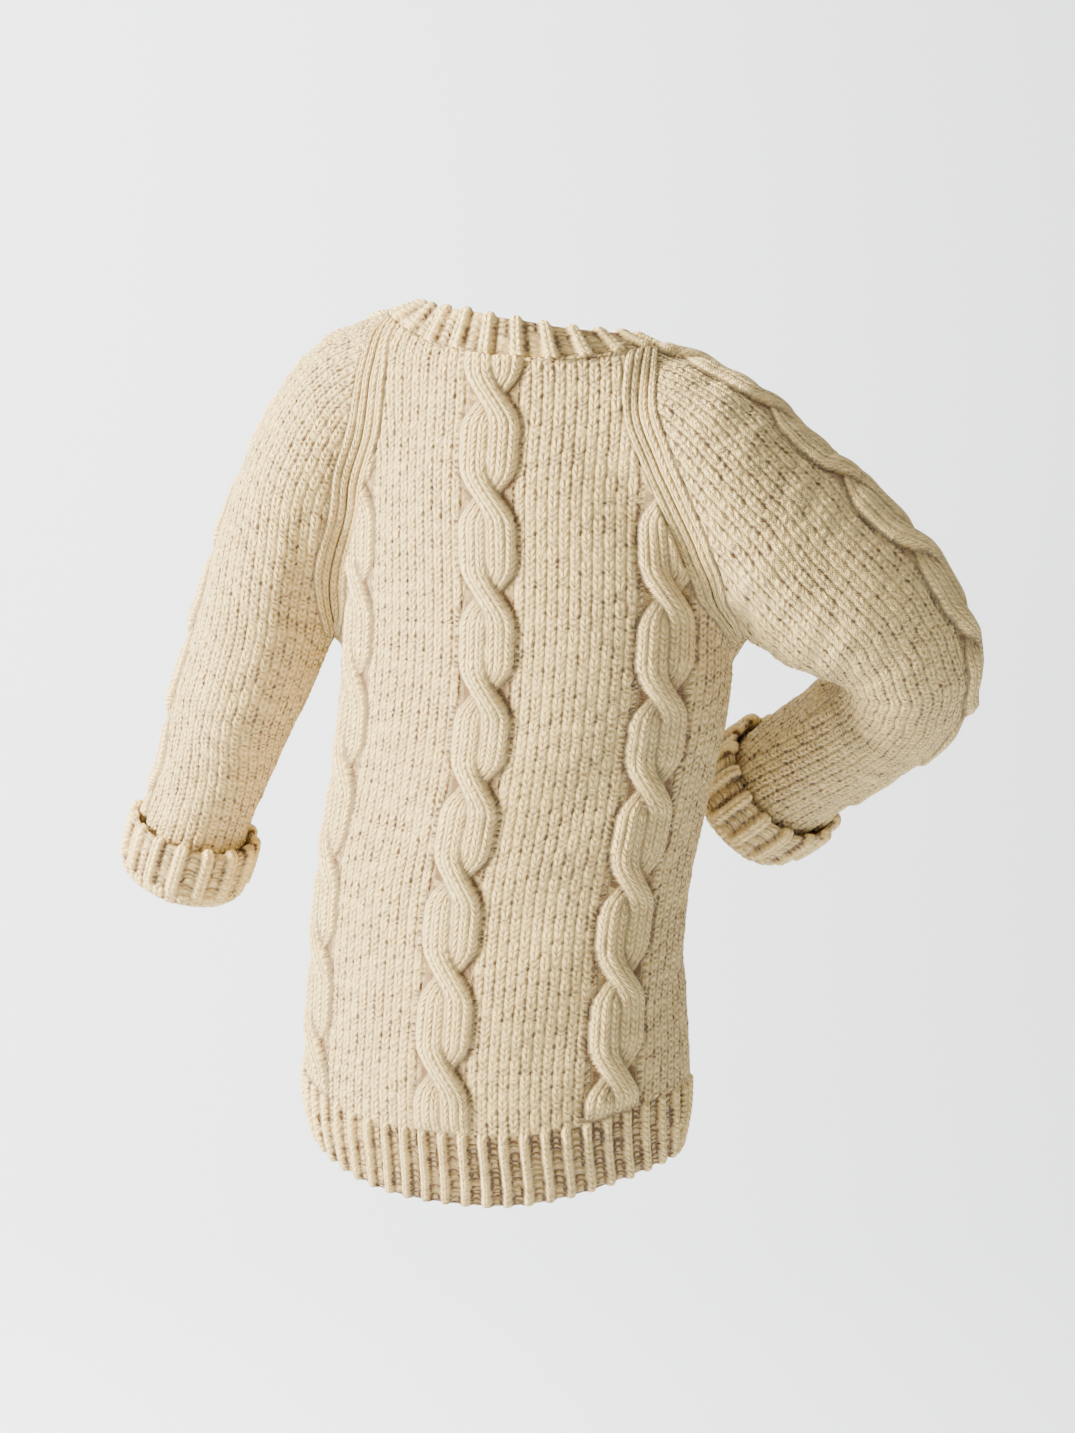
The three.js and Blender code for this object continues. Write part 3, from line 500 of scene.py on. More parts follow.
class Grid:
    """Smooth cloth as rows and columns of points, with how far across and along each one lies."""

    def __init__(self, points, across, run, seam_from=None):
        self.points = points
        self.across = across
        self.run = run
        self.seam_from = seam_from

    def refined(self, row_step, columns):
        steps = np.linalg.norm(np.diff(self.points, axis=0), axis=-1).mean(axis=1)
        keys = np.concatenate([[0], np.cumsum(steps)])
        rows = int(round(keys[-1] / row_step)) + 1
        data = np.concatenate([self.points, self.across[..., None], self.run[..., None]], axis=-1)
        data = curve(keys, data)(np.linspace(0, keys[-1], rows))
        places = np.linspace(0, 1, data.shape[1])
        data = np.moveaxis(curve(places, np.moveaxis(data, 1, 0))(np.linspace(0, 1, columns)), 0, 1)
        seam_from = None
        if self.seam_from is not None:
            seam_from = int(np.searchsorted(np.linspace(0, keys[-1], rows), keys[self.seam_from]))
        return Grid(data[..., :3], data[..., 3], data[..., 4], seam_from)

    def evened(self):
        """Rows near the underarm spread evenly, still on the worn surface."""
        points, across, run = self.points.copy(), self.across.copy(), self.run.copy()
        low, high = self.seam_from - EVENED_ROWS, self.seam_from + EVENED_ROWS + 1
        for _ in range(EVENED_TURNS):
            for values in (points, across, run):
                before, after = values[low - 1:high - 1], values[low + 1:high + 1]
                values[low:high, 1:-1] = ((before + values[low:high] * 2 + after) / 4)[:, 1:-1]
        points[low:high, 1:-1] = settle(points[low:high, 1:-1])
        return Grid(points, across, run, self.seam_from)


def even_row(points, middle, columns):
    """Each row's points, evenly spaced on both sides of a middle sample, with the distance from it."""
    rows = points.shape[0]
    out = np.empty((rows, columns, 3))
    across = np.empty((rows, columns))
    half = (columns - 1) // 2
    for r in range(rows):
        run = lengths_along(points[r])
        zero = np.interp(middle[r], np.arange(len(run)), run)
        low, high = -zero, run[-1] - zero
        places = np.concatenate([np.linspace(low, 0, half + 1), np.linspace(0, high, half + 1)[1:]])
        spline = curve(run, points[r])
        out[r] = spline(places + zero)
        across[r] = places
    return out, across


FACINGS = {
    "back": {"first": "left", "second": "right", "middle": 0.0, "to_face": 1},
    "front": {"first": "right", "second": "left", "middle": math.pi, "to_face": -1},
}


def unwrapped(angle, middle):
    return (angle - middle + math.pi) % (2 * math.pi) - math.pi + middle


# body panels, from the hem to the neck
def body_grid(name):
    facing = FACINGS[name]
    middle_angle = facing["middle"]
    half_gap = SEAM_GAP / 2
    sides = facing["first"], facing["second"]
    k = np.linspace(-1, 1, SAMPLES + 1)
    top = min(ARMHOLES[side][name]["point"][0][2] for side in sides)

    def fanned(first, second):
        first, second = [unwrapped(angle, middle_angle)[:, None] for angle in (first, second)]
        return np.where(k < 0, mix(middle_angle, first, -k), mix(middle_angle, second, k)), first, second

    # level rows below the underarm
    levels = np.linspace(HEM_LEVEL, top - COARSE_STEP, int((top - HEM_LEVEL) / COARSE_STEP))
    ends = [side_seam(side, levels) for side in sides]
    start, end = [point + to_back * facing["to_face"] * half_gap for point, to_back in ends]
    angle = fanned(angle_of(start), angle_of(end))[0]
    height = levels[:, None] + hem_lift(angle, levels[:, None])
    level_axis = np.broadcast_to(axis_at(levels)[:, None, :], angle.shape + (3,))
    guess = leave(level_axis + (height - levels[:, None])[..., None] * [0, 0, 1],
                  heading(angle, np.zeros_like(angle)), body_distance)
    lower = curve_through(guess, start, end)

    # raglan rows, cast from a middle that rises to the neck's
    a, b = [ARMHOLES[side][name] for side in sides]
    rise = smooth(0, 1, ARMHOLE_SHARES)[:, None]
    low = (a["point"][0, 2] + b["point"][0, 2]) / 2
    middle = mix(axis_at(mix(low, NECK_MIDDLE[2], rise[:, 0])), NECK_MIDDLE, rise)
    start = a["point"] + a["to_body"] * half_gap
    end = b["point"] + b["to_body"] * half_gap

    def seen(p, origin):
        d = p - origin
        return np.arctan2(d[..., 0], d[..., 1]), np.arctan2(d[..., 2], np.hypot(d[..., 0], d[..., 1]))

    first, first_lift = seen(start, middle)
    second, second_lift = seen(end, middle)
    angle, first, second = fanned(first, second)
    neck_row = NECK_POINT[0 if name == "back" else NECK_POINTS // 2]
    neck_lift = seen(neck_row, NECK_MIDDLE)[1]
    corner_lifts = [seen(edge["point"][-1], NECK_MIDDLE)[1] for edge in (a, b)]
    crown = neck_lift - sum(corner_lifts) / 2
    bend = crown * smooth(0.45, 1, ARMHOLE_SHARES)[:, None]
    share = (first - angle) / (first - second)
    lift = mix(first_lift[:, None], second_lift[:, None], share) + bend * 4 * share * (1 - share)
    middle = np.broadcast_to(middle[:, None, :], angle.shape + (3,))
    upper = curve_through(leave(middle, heading(angle, lift), body_distance), start, end)
    points = np.concatenate([lower, upper])
    out, across = even_row(points, np.full(len(points), SAMPLES / 2), COARSE_COLUMNS)
    out[-1] = neck_edge(out[-1])
    return Grid(out, across, out[..., 2].copy(), seam_from=len(levels))


# a panel's neck edge lies just below the neck seam all along it
def neck_edge(row):
    point, up = NECK_DENSE
    nearest = np.argmin(np.linalg.norm(row[:, None] - point[None], axis=-1), axis=1)
    return point[nearest] + up[nearest] * -(SEAM_GAP / 2)


# sleeves, from the cuff to the neck
class SleeveFrames:
    """Where each ring below the underarm is centred, and which way its top and back lie."""

    step = 4.0
    turn = 120.0

    def __init__(self, side):
        self.sleeve = SLEEVES[side]
        self.holes = ARMHOLES[side]
        self.under = self.holes["back"]["point"][0]
        runs = np.arange(0, self.sleeve.total, 2.0)
        away = np.linalg.norm(self.sleeve.read(runs)[:, :3] - self.under, axis=1)
        start = runs[np.argmin(away)]
        self.centre = self.sleeve.read(start)[:3]
        self.out = unit(self.centre - self.under)
        spread = self.holes["back"]["point"][2] - self.holes["front"]["point"][2]
        self.along = squared_to(self.out, spread)
        out, to_back = self.out, self.along
        rows = []
        for run in np.arange(start, self.sleeve.total - 20, self.step):
            ahead = self.sleeve.read(min(run + 16, self.sleeve.total))[:3]
            d = unit(ahead - self.sleeve.read(run - 16)[:3])
            out = squared_to(d, out)
            crossed = unit(np.cross(out, d))
            to_back = crossed * np.sign(crossed @ to_back)
            share = smooth(0, self.turn, run - start)
            turned = [unit(mix(self.out, out, share)), unit(mix(self.along, to_back, share))]
            rows.append(np.concatenate([self.sleeve.read(run)[:3], *turned]))
        self.read = curve(np.arange(len(rows)) * self.step, rows)

    def at(self, distance):
        rows = self.read(distance)
        return rows[..., :3], unit(rows[..., 3:6]), unit(rows[..., 6:9])


FRAMES = {side: SleeveFrames(side) for side in ("left", "right")}


def ring_points(side, centre, out, to_back, angle):
    ray = to_back[:, None] * np.cos(angle)[..., None] + out[:, None] * np.sin(angle)[..., None]
    start = np.broadcast_to(centre[:, None], ray.shape)
    return leave(start, ray, SLEEVES[side].distance)


CAP_DEPTH = 12.0
UNDER = -math.pi / 2


def sleeve_grid(side):
    frames = FRAMES[side]
    reach = SLEEVE_LENGTH[side]
    k = np.linspace(0, 1, SAMPLES + 1)
    distances = np.arange(reach, 0, -COARSE_STEP)
    centre, out, to_back = frames.at(distances)
    angle = np.broadcast_to(mix(UNDER, UNDER + 2 * math.pi, k), (len(distances), SAMPLES + 1))
    rings = settle(ring_points(side, centre, out, to_back, angle))
    around = unit(rings[:, 1] - rings[:, -2])
    rings[:, 0] += around * SEAM_GAP / 2
    rings[:, -1] -= around * SEAM_GAP / 2
    ring_middle = np.full(len(distances), SAMPLES / 2)

    # rows over the shoulder, between the two raglan seams
    back, front = frames.holes["back"], frames.holes["front"]
    ridge = NECK_POINT[NECK_SHOULDERS[side]]
    out_at_neck = unit(ridge - (back["point"][-1] + front["point"][-1]) / 2)
    share = ARMHOLE_SHARES[:, None]
    out = unit(mix(frames.out, out_at_neck, share))
    spread = back["point"] - front["point"]
    spread[0] = frames.along
    to_back = squared_to(out, spread)
    arm_depth = np.linalg.norm(frames.centre - frames.under)
    depth = mix(arm_depth, CAP_DEPTH, np.clip(share / 0.85, 0, 1))
    centre = (back["point"] + front["point"]) / 2 + out * depth

    def angle_in(p):
        d = p - centre
        return np.arctan2(dot(d, out), dot(d, to_back))

    start, end = angle_in(back["point"]), angle_in(front["point"])
    start[0], end[0] = UNDER, UNDER + 2 * math.pi
    end = np.where(end < start + 1, end + 2 * math.pi, end)
    guess = ring_points(side, centre, out, to_back, mix(start[:, None], end[:, None], k))
    half_gap = SEAM_GAP / 2
    rows = curve_through(
        guess, back["point"] - back["to_body"] * half_gap, front["point"] - front["to_body"] * half_gap)
    top = SAMPLES * (math.pi / 2 - start) / (end - start)
    points = np.concatenate([rings, rows])
    middle = np.concatenate([ring_middle, top])
    points, across = even_row(points, middle, COARSE_COLUMNS)
    points[-1] = neck_edge(points[-1])
    run = lengths_along(points[:, (COARSE_COLUMNS - 1) // 2])[:, None]
    return Grid(points, across, np.broadcast_to(run, across.shape).copy(), seam_from=len(distances))


# turned-back cuff: how far up from its fold, how far out from the sleeve
CUFF_FOLD = [
    (46, -3),
    (25, -3),
    (8, -3),
    (1, -1),
    (-2, 3),
    (0, 8),
    (5, 11),
    (16, 12.5),
    (30, 13.5),
    (44, 13.5),
    (54, 13),
    (58, 10),
    (56, 6.5),
    (40, 5.5),
    (20, 5),
    (9, 4),
    (10, 1),
    (24, 0.5),
    (46, 0),
]
CUFF_INNER_TOP = 46.0


def closed_ring(points, count):
    run = lengths_along(points)
    return stepped(points, run, np.linspace(0, run[-1], count))


def cuff_grid(side, rows, columns):
    """The cuff as a closed fold: points, place along the fold and height up from its lower edge."""
    fold = table_curve([(i,) + row for i, row in enumerate(CUFF_FOLD)])
    place = np.linspace(0, len(CUFF_FOLD) - 1, rows)
    up, out = np.moveaxis(fold(place), -1, 0)
    edge = np.clip(np.minimum(place, len(CUFF_FOLD) - 1 - place), 0, 1)
    distance = SLEEVE_LENGTH[side] + CUFF_INNER_TOP - up
    distance = np.where(edge < 0.999, np.maximum(distance, SLEEVE_LENGTH[side] + SEAM_GAP), distance)
    levels = np.arange(SLEEVE_LENGTH[side] - 20, SLEEVE_LENGTH[side] + CUFF_INNER_TOP + 12, 6.0)
    centre, frame_out, to_back = FRAMES[side].at(levels)
    angle = np.broadcast_to(np.linspace(UNDER, UNDER + 2 * math.pi, 97), (len(levels), 97))
    dense = ring_points(side, centre, frame_out, to_back, angle)
    rings = np.stack([closed_ring(row, columns) for row in dense])
    normals = unit(rings - centre[:, None])
    axis = unit(np.gradient(centre, axis=0))
    normals = squared_to(np.broadcast_to(axis[:, None], normals.shape), normals)
    read = curve(levels, np.concatenate([rings, normals], axis=-1))(distance)
    point, normal = read[..., :3], unit(read[..., 3:])
    return point + normal * out[:, None, None], place, up


def neckband_grid(rows, columns):
    """The neckband as rows round the neck, from the neck seam to its top edge."""
    levels = np.linspace(0, 1, 9)
    start = neck_ring(360)[0]
    start = np.concatenate([start, start[:1]])
    angle = np.unwrap(neck_angle(start))
    rings = [start] + [neck_point(angle, share) for share in levels[1:]]
    rings = np.stack([closed_ring(ring, columns) for ring in rings])
    return curve(levels, rings)(np.linspace(0, 1, rows))


# knit relief, in millimetres out from the cloth
def legs(s, t):
    """Two legs of a knit stitch leaning into a V; s counts stitches across, t rows."""
    a = np.abs(s - np.floor(s) - 0.5) * 2
    arch = np.sin(np.pi * np.clip(a, 0.02, 0.98)) ** 0.7
    return arch * (0.62 + 0.38 * np.cos(2 * np.pi * (t - 0.4 * a)))


def bumps(s, t):
    """The short bar of a purl stitch."""
    arch = 0.5 + 0.5 * np.cos(2 * np.pi * (t + 0.14 * np.cos(2 * np.pi * s)))
    return arch**0.8 * (0.72 - 0.28 * np.cos(2 * np.pi * s))


def chance(s, t):
    """A steady random number for each stitch, from 0 to 1."""
    wave = np.sin(np.floor(s) * 12.9898 + np.floor(t) * 78.233) * 43758.5453
    return wave - np.floor(wave)


def moss(s, t):
    """Height of the ground, and where it shows knit stitches."""
    m = np.sin(np.pi * s) * np.sin(np.pi * t / 2)
    knit = 0.5 + 0.5 * np.tanh(3.2 * m)
    uneven = 0.55 + 0.9 * chance(s, t / 2)
    holes = (np.cos(np.pi * s) * np.cos(np.pi * t / 2)) ** 4
    height = mix(0.9 * bumps(s, t), (1.1 * legs(s, t) + 0.15) * uneven, knit) - 0.9 * holes
    return height, 0.4 + 0.45 * knit


def cable(across, run):
    """Two strands of three knit columns that lie side by side and cross once a repeat."""
    turn = run / CABLE_REPEAT
    phase = turn - np.round(turn)
    cross = 1 - smooth(0.06, 0.36, np.abs(phase))
    width = CABLE_WIDTH / 2 * (1 - 0.2 * cross)
    u = across / width
    swap = smooth(-0.26, 0.26, phase)
    centre = mix(0.5, -0.5, swap)
    lean = np.cos(np.pi * np.clip(phase / 0.36, -1, 1) / 2) ** 2
    row = run / STITCH_HEIGHT

    def strand(at, way, lift, rise, half):
        d = (u - at) / half
        one = np.sqrt(np.clip(1 - d * d, 0, 1))
        whole = np.sqrt(np.clip(1.06 - u * u, 0, 1))
        column = np.clip((d + 1) * 1.5, 0.001, 2.999)
        part = column - np.floor(column)
        groove = (1 - np.sin(np.pi * part) ** 0.5) * 1.9
        height = mix(whole, one, 0.35 + 0.65 * cross) * lift - groove * np.minimum(1, one * 2) + rise
        return np.where(np.abs(d) < 1, height, -9), column, row + way * 0.9 * lean * d

    over, over_column, over_row = strand(
        centre, 1, CABLE_RELIEF * (1.1 + 0.35 * cross), 0.6 * cross, 0.5 + 0.12 * cross)
    under, under_column, under_row = strand(-centre, -1, CABLE_RELIEF * (1.1 - 0.6 * cross), 0, 0.5)
    inside = np.abs(u) < 1.0
    first = over >= under
    height = np.maximum(np.maximum(over, under), -0.5)
    gutter = smooth(0.97, 1.02, np.abs(u)) * (1 - smooth(3, 6, (np.abs(u) - 1) * width))
    column = np.where(first, over_column, under_column)
    return height, inside, gutter, column, np.where(first, over_row, under_row)


# the knit column's share of a rib's width
KNIT_SHARE = 0.58


def rib(s, t, relief):
    """One knit column and one purl column for each whole step of s; also where it is knit."""
    place = s - np.floor(s)
    knit = smooth(0.02, 0.16, place) * (1 - smooth(0.40, 0.56, place))
    column = np.clip(place / KNIT_SHARE, 0.02, 0.98)
    ridge = relief * np.sin(np.pi * column) ** 0.6 + 0.9 * legs(column, t) + 1.0
    valley = bumps(place * 2, t) * 0.6 - 1.6
    purl_column = 1 + (place - KNIT_SHARE) / (1 - KNIT_SHARE)
    column = np.where(place < KNIT_SHARE, column, purl_column) + 2 * np.floor(s)
    return knit * ridge + (1 - knit) * valley, knit, column


# knit columns beside each seam
SIDE_COLUMNS = 2


def panel_relief(grid, centres, hem, raglan):
    """Height of a panel's knit with its stitch count across and along, and where it is knit."""
    across, run = grid.across, grid.run
    to_edge = np.minimum(across - across[:, :1], across[:, -1:] - across)
    s, t = across / STITCH_WIDTH, run / STITCH_HEIGHT
    height, knit = moss(s + 0.5, t)
    column, row = s + 0.5, t
    above = grid.points[..., 2] - grid.points[:1, :, 2]
    ends = smooth(HEM_RIB_HEIGHT - 2, HEM_RIB_HEIGHT + 16, above) if hem else 1
    fade = smooth(6, 20, to_edge) * ends
    for centre in centres:
        rope, inside, gutter, rope_column, rope_row = cable(across - centre, run)
        height = mix(height, 0.7 * bumps(s, t) - 0.9, gutter)
        knit = mix(knit, 0.0, gutter)
        shown = inside & (fade > 0.02)
        height = np.where(shown, rope * fade + (1 - fade) * height, height)
        knit = np.where(shown, 1.0, knit)
        column = np.where(shown, rope_column, column)
        row = np.where(shown, rope_row, row)
    # knit columns beside each seam
    place = to_edge / (STITCH_WIDTH * 0.82)
    beside = (place < SIDE_COLUMNS) & (raglan > 0.5)
    part = place - np.floor(place)
    ridge = 2.4 * np.sin(np.pi * np.clip(part, 0.02, 0.98)) ** 0.6 + 0.6 * legs(part, t) - 0.5
    dip = 1.2 * (1 - smooth(0, 0.35, place - SIDE_COLUMNS)) * raglan
    dip = dip + 0.8 * (1 - smooth(0, 0.3, place)) * (1 - raglan)
    height = np.where(beside, ridge, height - dip)
    knit = np.where(beside, 1.0, knit)
    column = np.where(beside, place, column)
    row = np.where(beside, t, row)
    if hem:
        into = 1 - smooth(HEM_RIB_HEIGHT - 2, HEM_RIB_HEIGHT + 2, above)
        ribbing, rib_knit, rib_column = rib(across / RIB_PITCH + 0.3, t, RIB_RELIEF)
        height = mix(height, ribbing, into)
        knit = mix(knit, rib_knit, into)
        column = np.where(into > 0.5, rib_column, column)
        row = np.where(into > 0.5, t, row)
        height -= 1.5 * (1 - smooth(0, 4, above))
    return height, np.stack([column, row], axis=-1), knit


def softened(values, turns):
    for _ in range(turns):
        for axis in (0, 1):
            values = (values + np.roll(values, 1, axis) + np.roll(values, -1, axis)) / 3
    return values


def unevenness(p, rng, size, depth):
    """Slow seeded swell of the cloth, so no two stretches are quite alike."""
    waves = rng.normal(size=(7, 3)) / size
    starts = rng.uniform(0, 2 * math.pi, 7)
    return depth * sum(np.sin(p @ w + at) for w, at in zip(waves, starts)) / 2.6


# meshes
def normals_of(points):
    n = unit(np.cross(np.gradient(points, axis=1), np.gradient(points, axis=0)))
    some = (slice(None, None, 40), slice(None, None, 40))
    return -n if np.mean(dot(n[some], normal_at(points[some]))) < 0 else n


def placed(name, data):
    thing = bpy.data.objects.new(name, data)
    bpy.context.scene.collection.objects.link(thing)
    return thing


def make_mesh(name, points, faces, bake_uv, stitch_uv, knit, painted_shade, normal):
    """One mesh in metres, its faces turned so that they look along the given normal at vertex 0."""
    mesh = bpy.data.meshes.new(name)
    mesh.from_pydata((points * MM).tolist(), [], faces)
    corners = np.empty(len(mesh.loops), np.int32)
    mesh.loops.foreach_get("vertex_index", corners)
    bake = mesh.uv_layers.new(name="OFBake")
    bake.uv.foreach_set("vector", np.asarray(bake_uv, np.float32).ravel())
    stitches = mesh.uv_layers.new(name="stitches")
    stitches.uv.foreach_set("vector", stitch_uv[corners].astype(np.float32).ravel())
    stitches.active_render = True
    # point attributes: the share of painted shade for the colour, and where the cloth is knit
    for key, values in (("painted_shade", painted_shade), ("knit", knit)):
        mesh.attributes.new(key, "FLOAT", "POINT").data.foreach_set("value", values.astype(np.float32))
    mesh.update()
    if mesh.polygons[0].normal @ Vector(normal) < 0:
        mesh.flip_normals()
    mesh.shade_smooth()
    return placed(name, mesh)


def quads(rows, columns, start=0):
    i, j = np.meshgrid(np.arange(rows - 1), np.arange(columns - 1), indexing="ij")
    a = (start + i * columns + j).ravel()
    return np.stack([a, a + 1, a + columns + 1, a + columns], axis=1)


def quad_uvs(rows, columns, low, high):
    u, v = np.meshgrid(np.linspace(low[0], high[0], columns), np.linspace(low[1], high[1], rows))
    at = np.stack([u, v], axis=-1)
    return np.stack([at[:-1, :-1], at[:-1, 1:], at[1:, 1:], at[1:, :-1]], axis=2)


# how much coarser the inner face is, and where each face of the cloth lies in the OFBake map
COARSER = 4
OUTER_UV = (0.01, 0.01), (0.99, 0.81)
INNER_UV = (0.01, 0.84), (0.49, 0.99)
EDGE_UV_CORNER = (0.52, 0.84)
EDGE_UV_SIZE = (0.46, 0.14)
RING_UV = (0.01, 0.01), (0.99, 0.99)
# the even share of painted shade given to the inner face's colour
INNER_PAINTED_SHADE = 0.3


def shell(name, outer, inner, stitch_uv, knit, painted_shade):
    """Thin cloth: a fine outer face, a coarser inner face and a strip round the edges."""
    rows, columns = outer.shape[:2]
    few_rows, few_columns = inner.shape[:2]
    index = np.arange(rows * columns).reshape(rows, columns)
    under = rows * columns + np.arange(few_rows * few_columns).reshape(few_rows, few_columns)

    def loop(grid):
        return np.concatenate([grid[0, :-1], grid[:-1, -1], grid[-1, :0:-1], grid[:0:-1, 0]])

    a, b = loop(index).tolist(), loop(under).tolist()
    half = COARSER // 2
    strip, strip_uv = [], []
    for k in range(len(b)):
        many = [a[(k * COARSER + i) % len(a)] for i in range(COARSER + 1)]
        ends = b[k], b[(k + 1) % len(b)]
        at = [(k + i / COARSER) / len(b) for i in range(COARSER + 1)]
        for i in range(COARSER):
            end = 0 if i < half else 1
            strip.append((many[i + 1], many[i], ends[end]))
            strip_uv += [(at[i + 1], 1), (at[i], 1), (at[0] if end == 0 else at[-1], 0)]
        strip.append((many[half], ends[0], ends[1]))
        strip_uv += [(at[half], 1), (at[0], 0), (at[-1], 0)]
    strip_uv = np.array(strip_uv) * EDGE_UV_SIZE + EDGE_UV_CORNER
    back = quads(few_rows, few_columns, rows * columns)[:, ::-1]
    back_uv = quad_uvs(few_rows, few_columns, *INNER_UV).reshape(-1, 4, 2)[:, ::-1]
    front_uv = quad_uvs(rows, columns, *OUTER_UV)
    faces = quads(rows, columns).tolist() + back.tolist() + strip
    points = np.concatenate([outer.reshape(-1, 3), inner.reshape(-1, 3)])
    uv = np.concatenate([front_uv.reshape(-1, 2), back_uv.reshape(-1, 2), strip_uv])
    flat_uv = np.concatenate([stitch_uv.reshape(-1, 2), stitch_uv[::COARSER, ::COARSER].reshape(-1, 2)])
    shade = np.concatenate([painted_shade.ravel(), np.full(few_rows * few_columns, INNER_PAINTED_SHADE)])
    knit = np.concatenate([knit.ravel(), np.zeros(few_rows * few_columns)])
    return make_mesh(name, points, faces, uv, flat_uv, knit, shade, normals_of(outer)[0, 0])


def painted_shade_share(height):
    """How much painted shade each point's colour gets: how far it lies below the knit round it, from 0 on
    top to 1 in the grooves.
    """
    wide = softened(height, 9)
    near = softened(height, 2)
    return np.clip(0.28 + (wide - near) * 0.17 + (near - height) * 0.16, 0, 0.8)


def cloth_from(name, grid, centres, hem, row_step, columns, rng):
    fine = grid.refined(row_step, columns)
    made = fine.points.shape[0]
    rows = (made - 1) // COARSER * COARSER + 1
    if rows != made:
        fine = grid.refined((made - 1) * row_step / (rows - 1), columns)
    normal = normals_of(fine.points)
    base = fine.points - normal * pressed(fine.points, CREASES)[..., None]
    inward = edge_share(base.shape[:2])
    base = base + normal * (unevenness(base, rng, 60, 1.2) * inward)[..., None]
    shift = unevenness(base, rng, 45, 1.5) * inward
    along = unevenness(base, rng, 45, 1.5) * inward
    raglan = smooth(fine.seam_from - 8, fine.seam_from + 12, np.arange(len(base)))[:, None]
    worked = Grid(base, fine.across + shift, fine.run + along)
    height, stitch_uv, knit = panel_relief(worked, centres, hem, raglan)
    outer = base + normals_of(base) * height[..., None]
    inner = (base - normal * WALL)[::COARSER, ::COARSER]
    return shell(name, outer, inner, stitch_uv, knit, painted_shade_share(height))


def edge_share(shape):
    """0 along a grid's edges and 1 a few rows and columns in."""
    i, j = [np.minimum(np.arange(count), np.arange(count)[::-1]) for count in shape]
    return smooth(0, 12, np.minimum(i[:, None], j[None]))


def ring_mesh(name, points, normal, height, stitch_uv, knit):
    """A closed fold of cloth going round: rows close on the first row, columns on the first column."""
    rows, columns = points.shape[0], points.shape[1] - 1
    outer = (points + normal * height[..., None])[:, :columns]
    i, j = np.meshgrid(np.arange(rows), np.arange(columns), indexing="ij")
    i2, j2 = (i + 1) % rows, (j + 1) % columns
    faces = np.stack([i * columns + j, i * columns + j2, i2 * columns + j2, i2 * columns + j], axis=-1)
    uv = quad_uvs(rows + 1, columns + 1, *RING_UV)
    cross = np.cross(outer[0, 1] - outer[0, 0], outer[1, 0] - outer[0, 0])
    facing = cross * np.sign(cross @ normal[0, 0])
    return make_mesh(name, outer.reshape(-1, 3), faces.reshape(-1, 4).tolist(), uv,
                     stitch_uv[:, :columns].reshape(-1, 2), knit[:, :columns].ravel(),
                     painted_shade_share(height)[:, :columns].ravel(), facing)


def fold_normals(points):
    """Outward normals of a closed fold of cloth."""
    over = np.roll(points, -1, axis=0) - np.roll(points, 1, axis=0)
    ring = points[:, :-1]
    along = np.roll(ring, -1, axis=1) - np.roll(ring, 1, axis=1)
    along = np.concatenate([along, along[:, :1]], axis=1)
    n = unit(np.cross(along, over))
    away = ring - ring.mean(axis=0)[None]
    return -n if np.mean(dot(n[:, :-1], away)) < 0 else n


# ribs round each edge, mesh columns to a rib, and mesh rows
CUFF_RIBS = 15
NECK_RIBS = 25
RIB_COLUMNS = 14
CUFF_ROWS = 104
NECK_ROWS = 30


def cuff_piece(name, side, rng):
    rows, columns = CUFF_ROWS, CUFF_RIBS * RIB_COLUMNS + 1
    points, place, up = cuff_grid(side, rows, columns)
    normal = fold_normals(points)
    s = np.broadcast_to(np.linspace(0, CUFF_RIBS, columns), (rows, columns))
    around = s * 2
    t = np.broadcast_to((lengths_along(points[:, 0]) / STITCH_HEIGHT)[:, None], s.shape)
    shown = smooth(3.2, 4.4, place) * (1 - smooth(11.2, 12.2, place))
    ribbing, rib_knit, rib_column = rib(s, t, RIB_RELIEF)
    fold, fold_knit = moss(around, t)
    above = smooth(9, 14, up)[:, None]
    height = mix(fold, ribbing, above) * shown[:, None]
    height = height + unevenness(points, rng, 40, 1.0) * shown[:, None]
    column = np.where(above > 0.5, rib_column, around)
    knit = mix(fold_knit, rib_knit, above)
    return ring_mesh(name, points, normal, height, np.stack([column, t], axis=-1), knit)


def neckband_piece(name):
    rows, columns = NECK_ROWS, NECK_RIBS * RIB_COLUMNS + 1
    surface = neckband_grid(rows, columns)
    normal = normals_of(surface)
    normal[:, -1] = normal[:, 0]
    place = np.linspace(0, 1, rows)
    inner = surface - normal * WALL
    turn = np.linspace(0, math.pi, 7)[1:-1]
    up = unit(surface[-1] - surface[-3])
    top_normals = np.stack([normal[-1] * math.cos(a) + up * math.sin(a) for a in turn])
    top = (surface[-1] + inner[-1]) / 2 + top_normals * WALL / 2
    points = np.concatenate([surface, top, inner[::-4]])
    normals = np.concatenate([normal, top_normals, -normal[::-4]])
    s = np.broadcast_to(np.linspace(0, NECK_RIBS, columns), (len(points), columns))
    t = np.broadcast_to((lengths_along(points[:, 0]) / STITCH_HEIGHT)[:, None], s.shape)
    inside = np.zeros(len(inner[::-4]))
    shown = np.concatenate([smooth(0, 0.07, place), 1 - 0.8 * turn / math.pi, inside])
    ribbing, knit, column = rib(s, t, RIB_RELIEF)
    height = (ribbing + 0.4) * shown[:, None]
    dip = 1.2 * (1 - smooth(0, 0.1, place))
    height -= np.concatenate([dip, np.zeros(len(points) - rows)])[:, None]
    return ring_mesh(name, points, normals, height, np.stack([column, t], axis=-1), knit)


# wool fibres standing off the knit, each a thin bent three-sided hair
FIBRE_RADIUS = 0.075


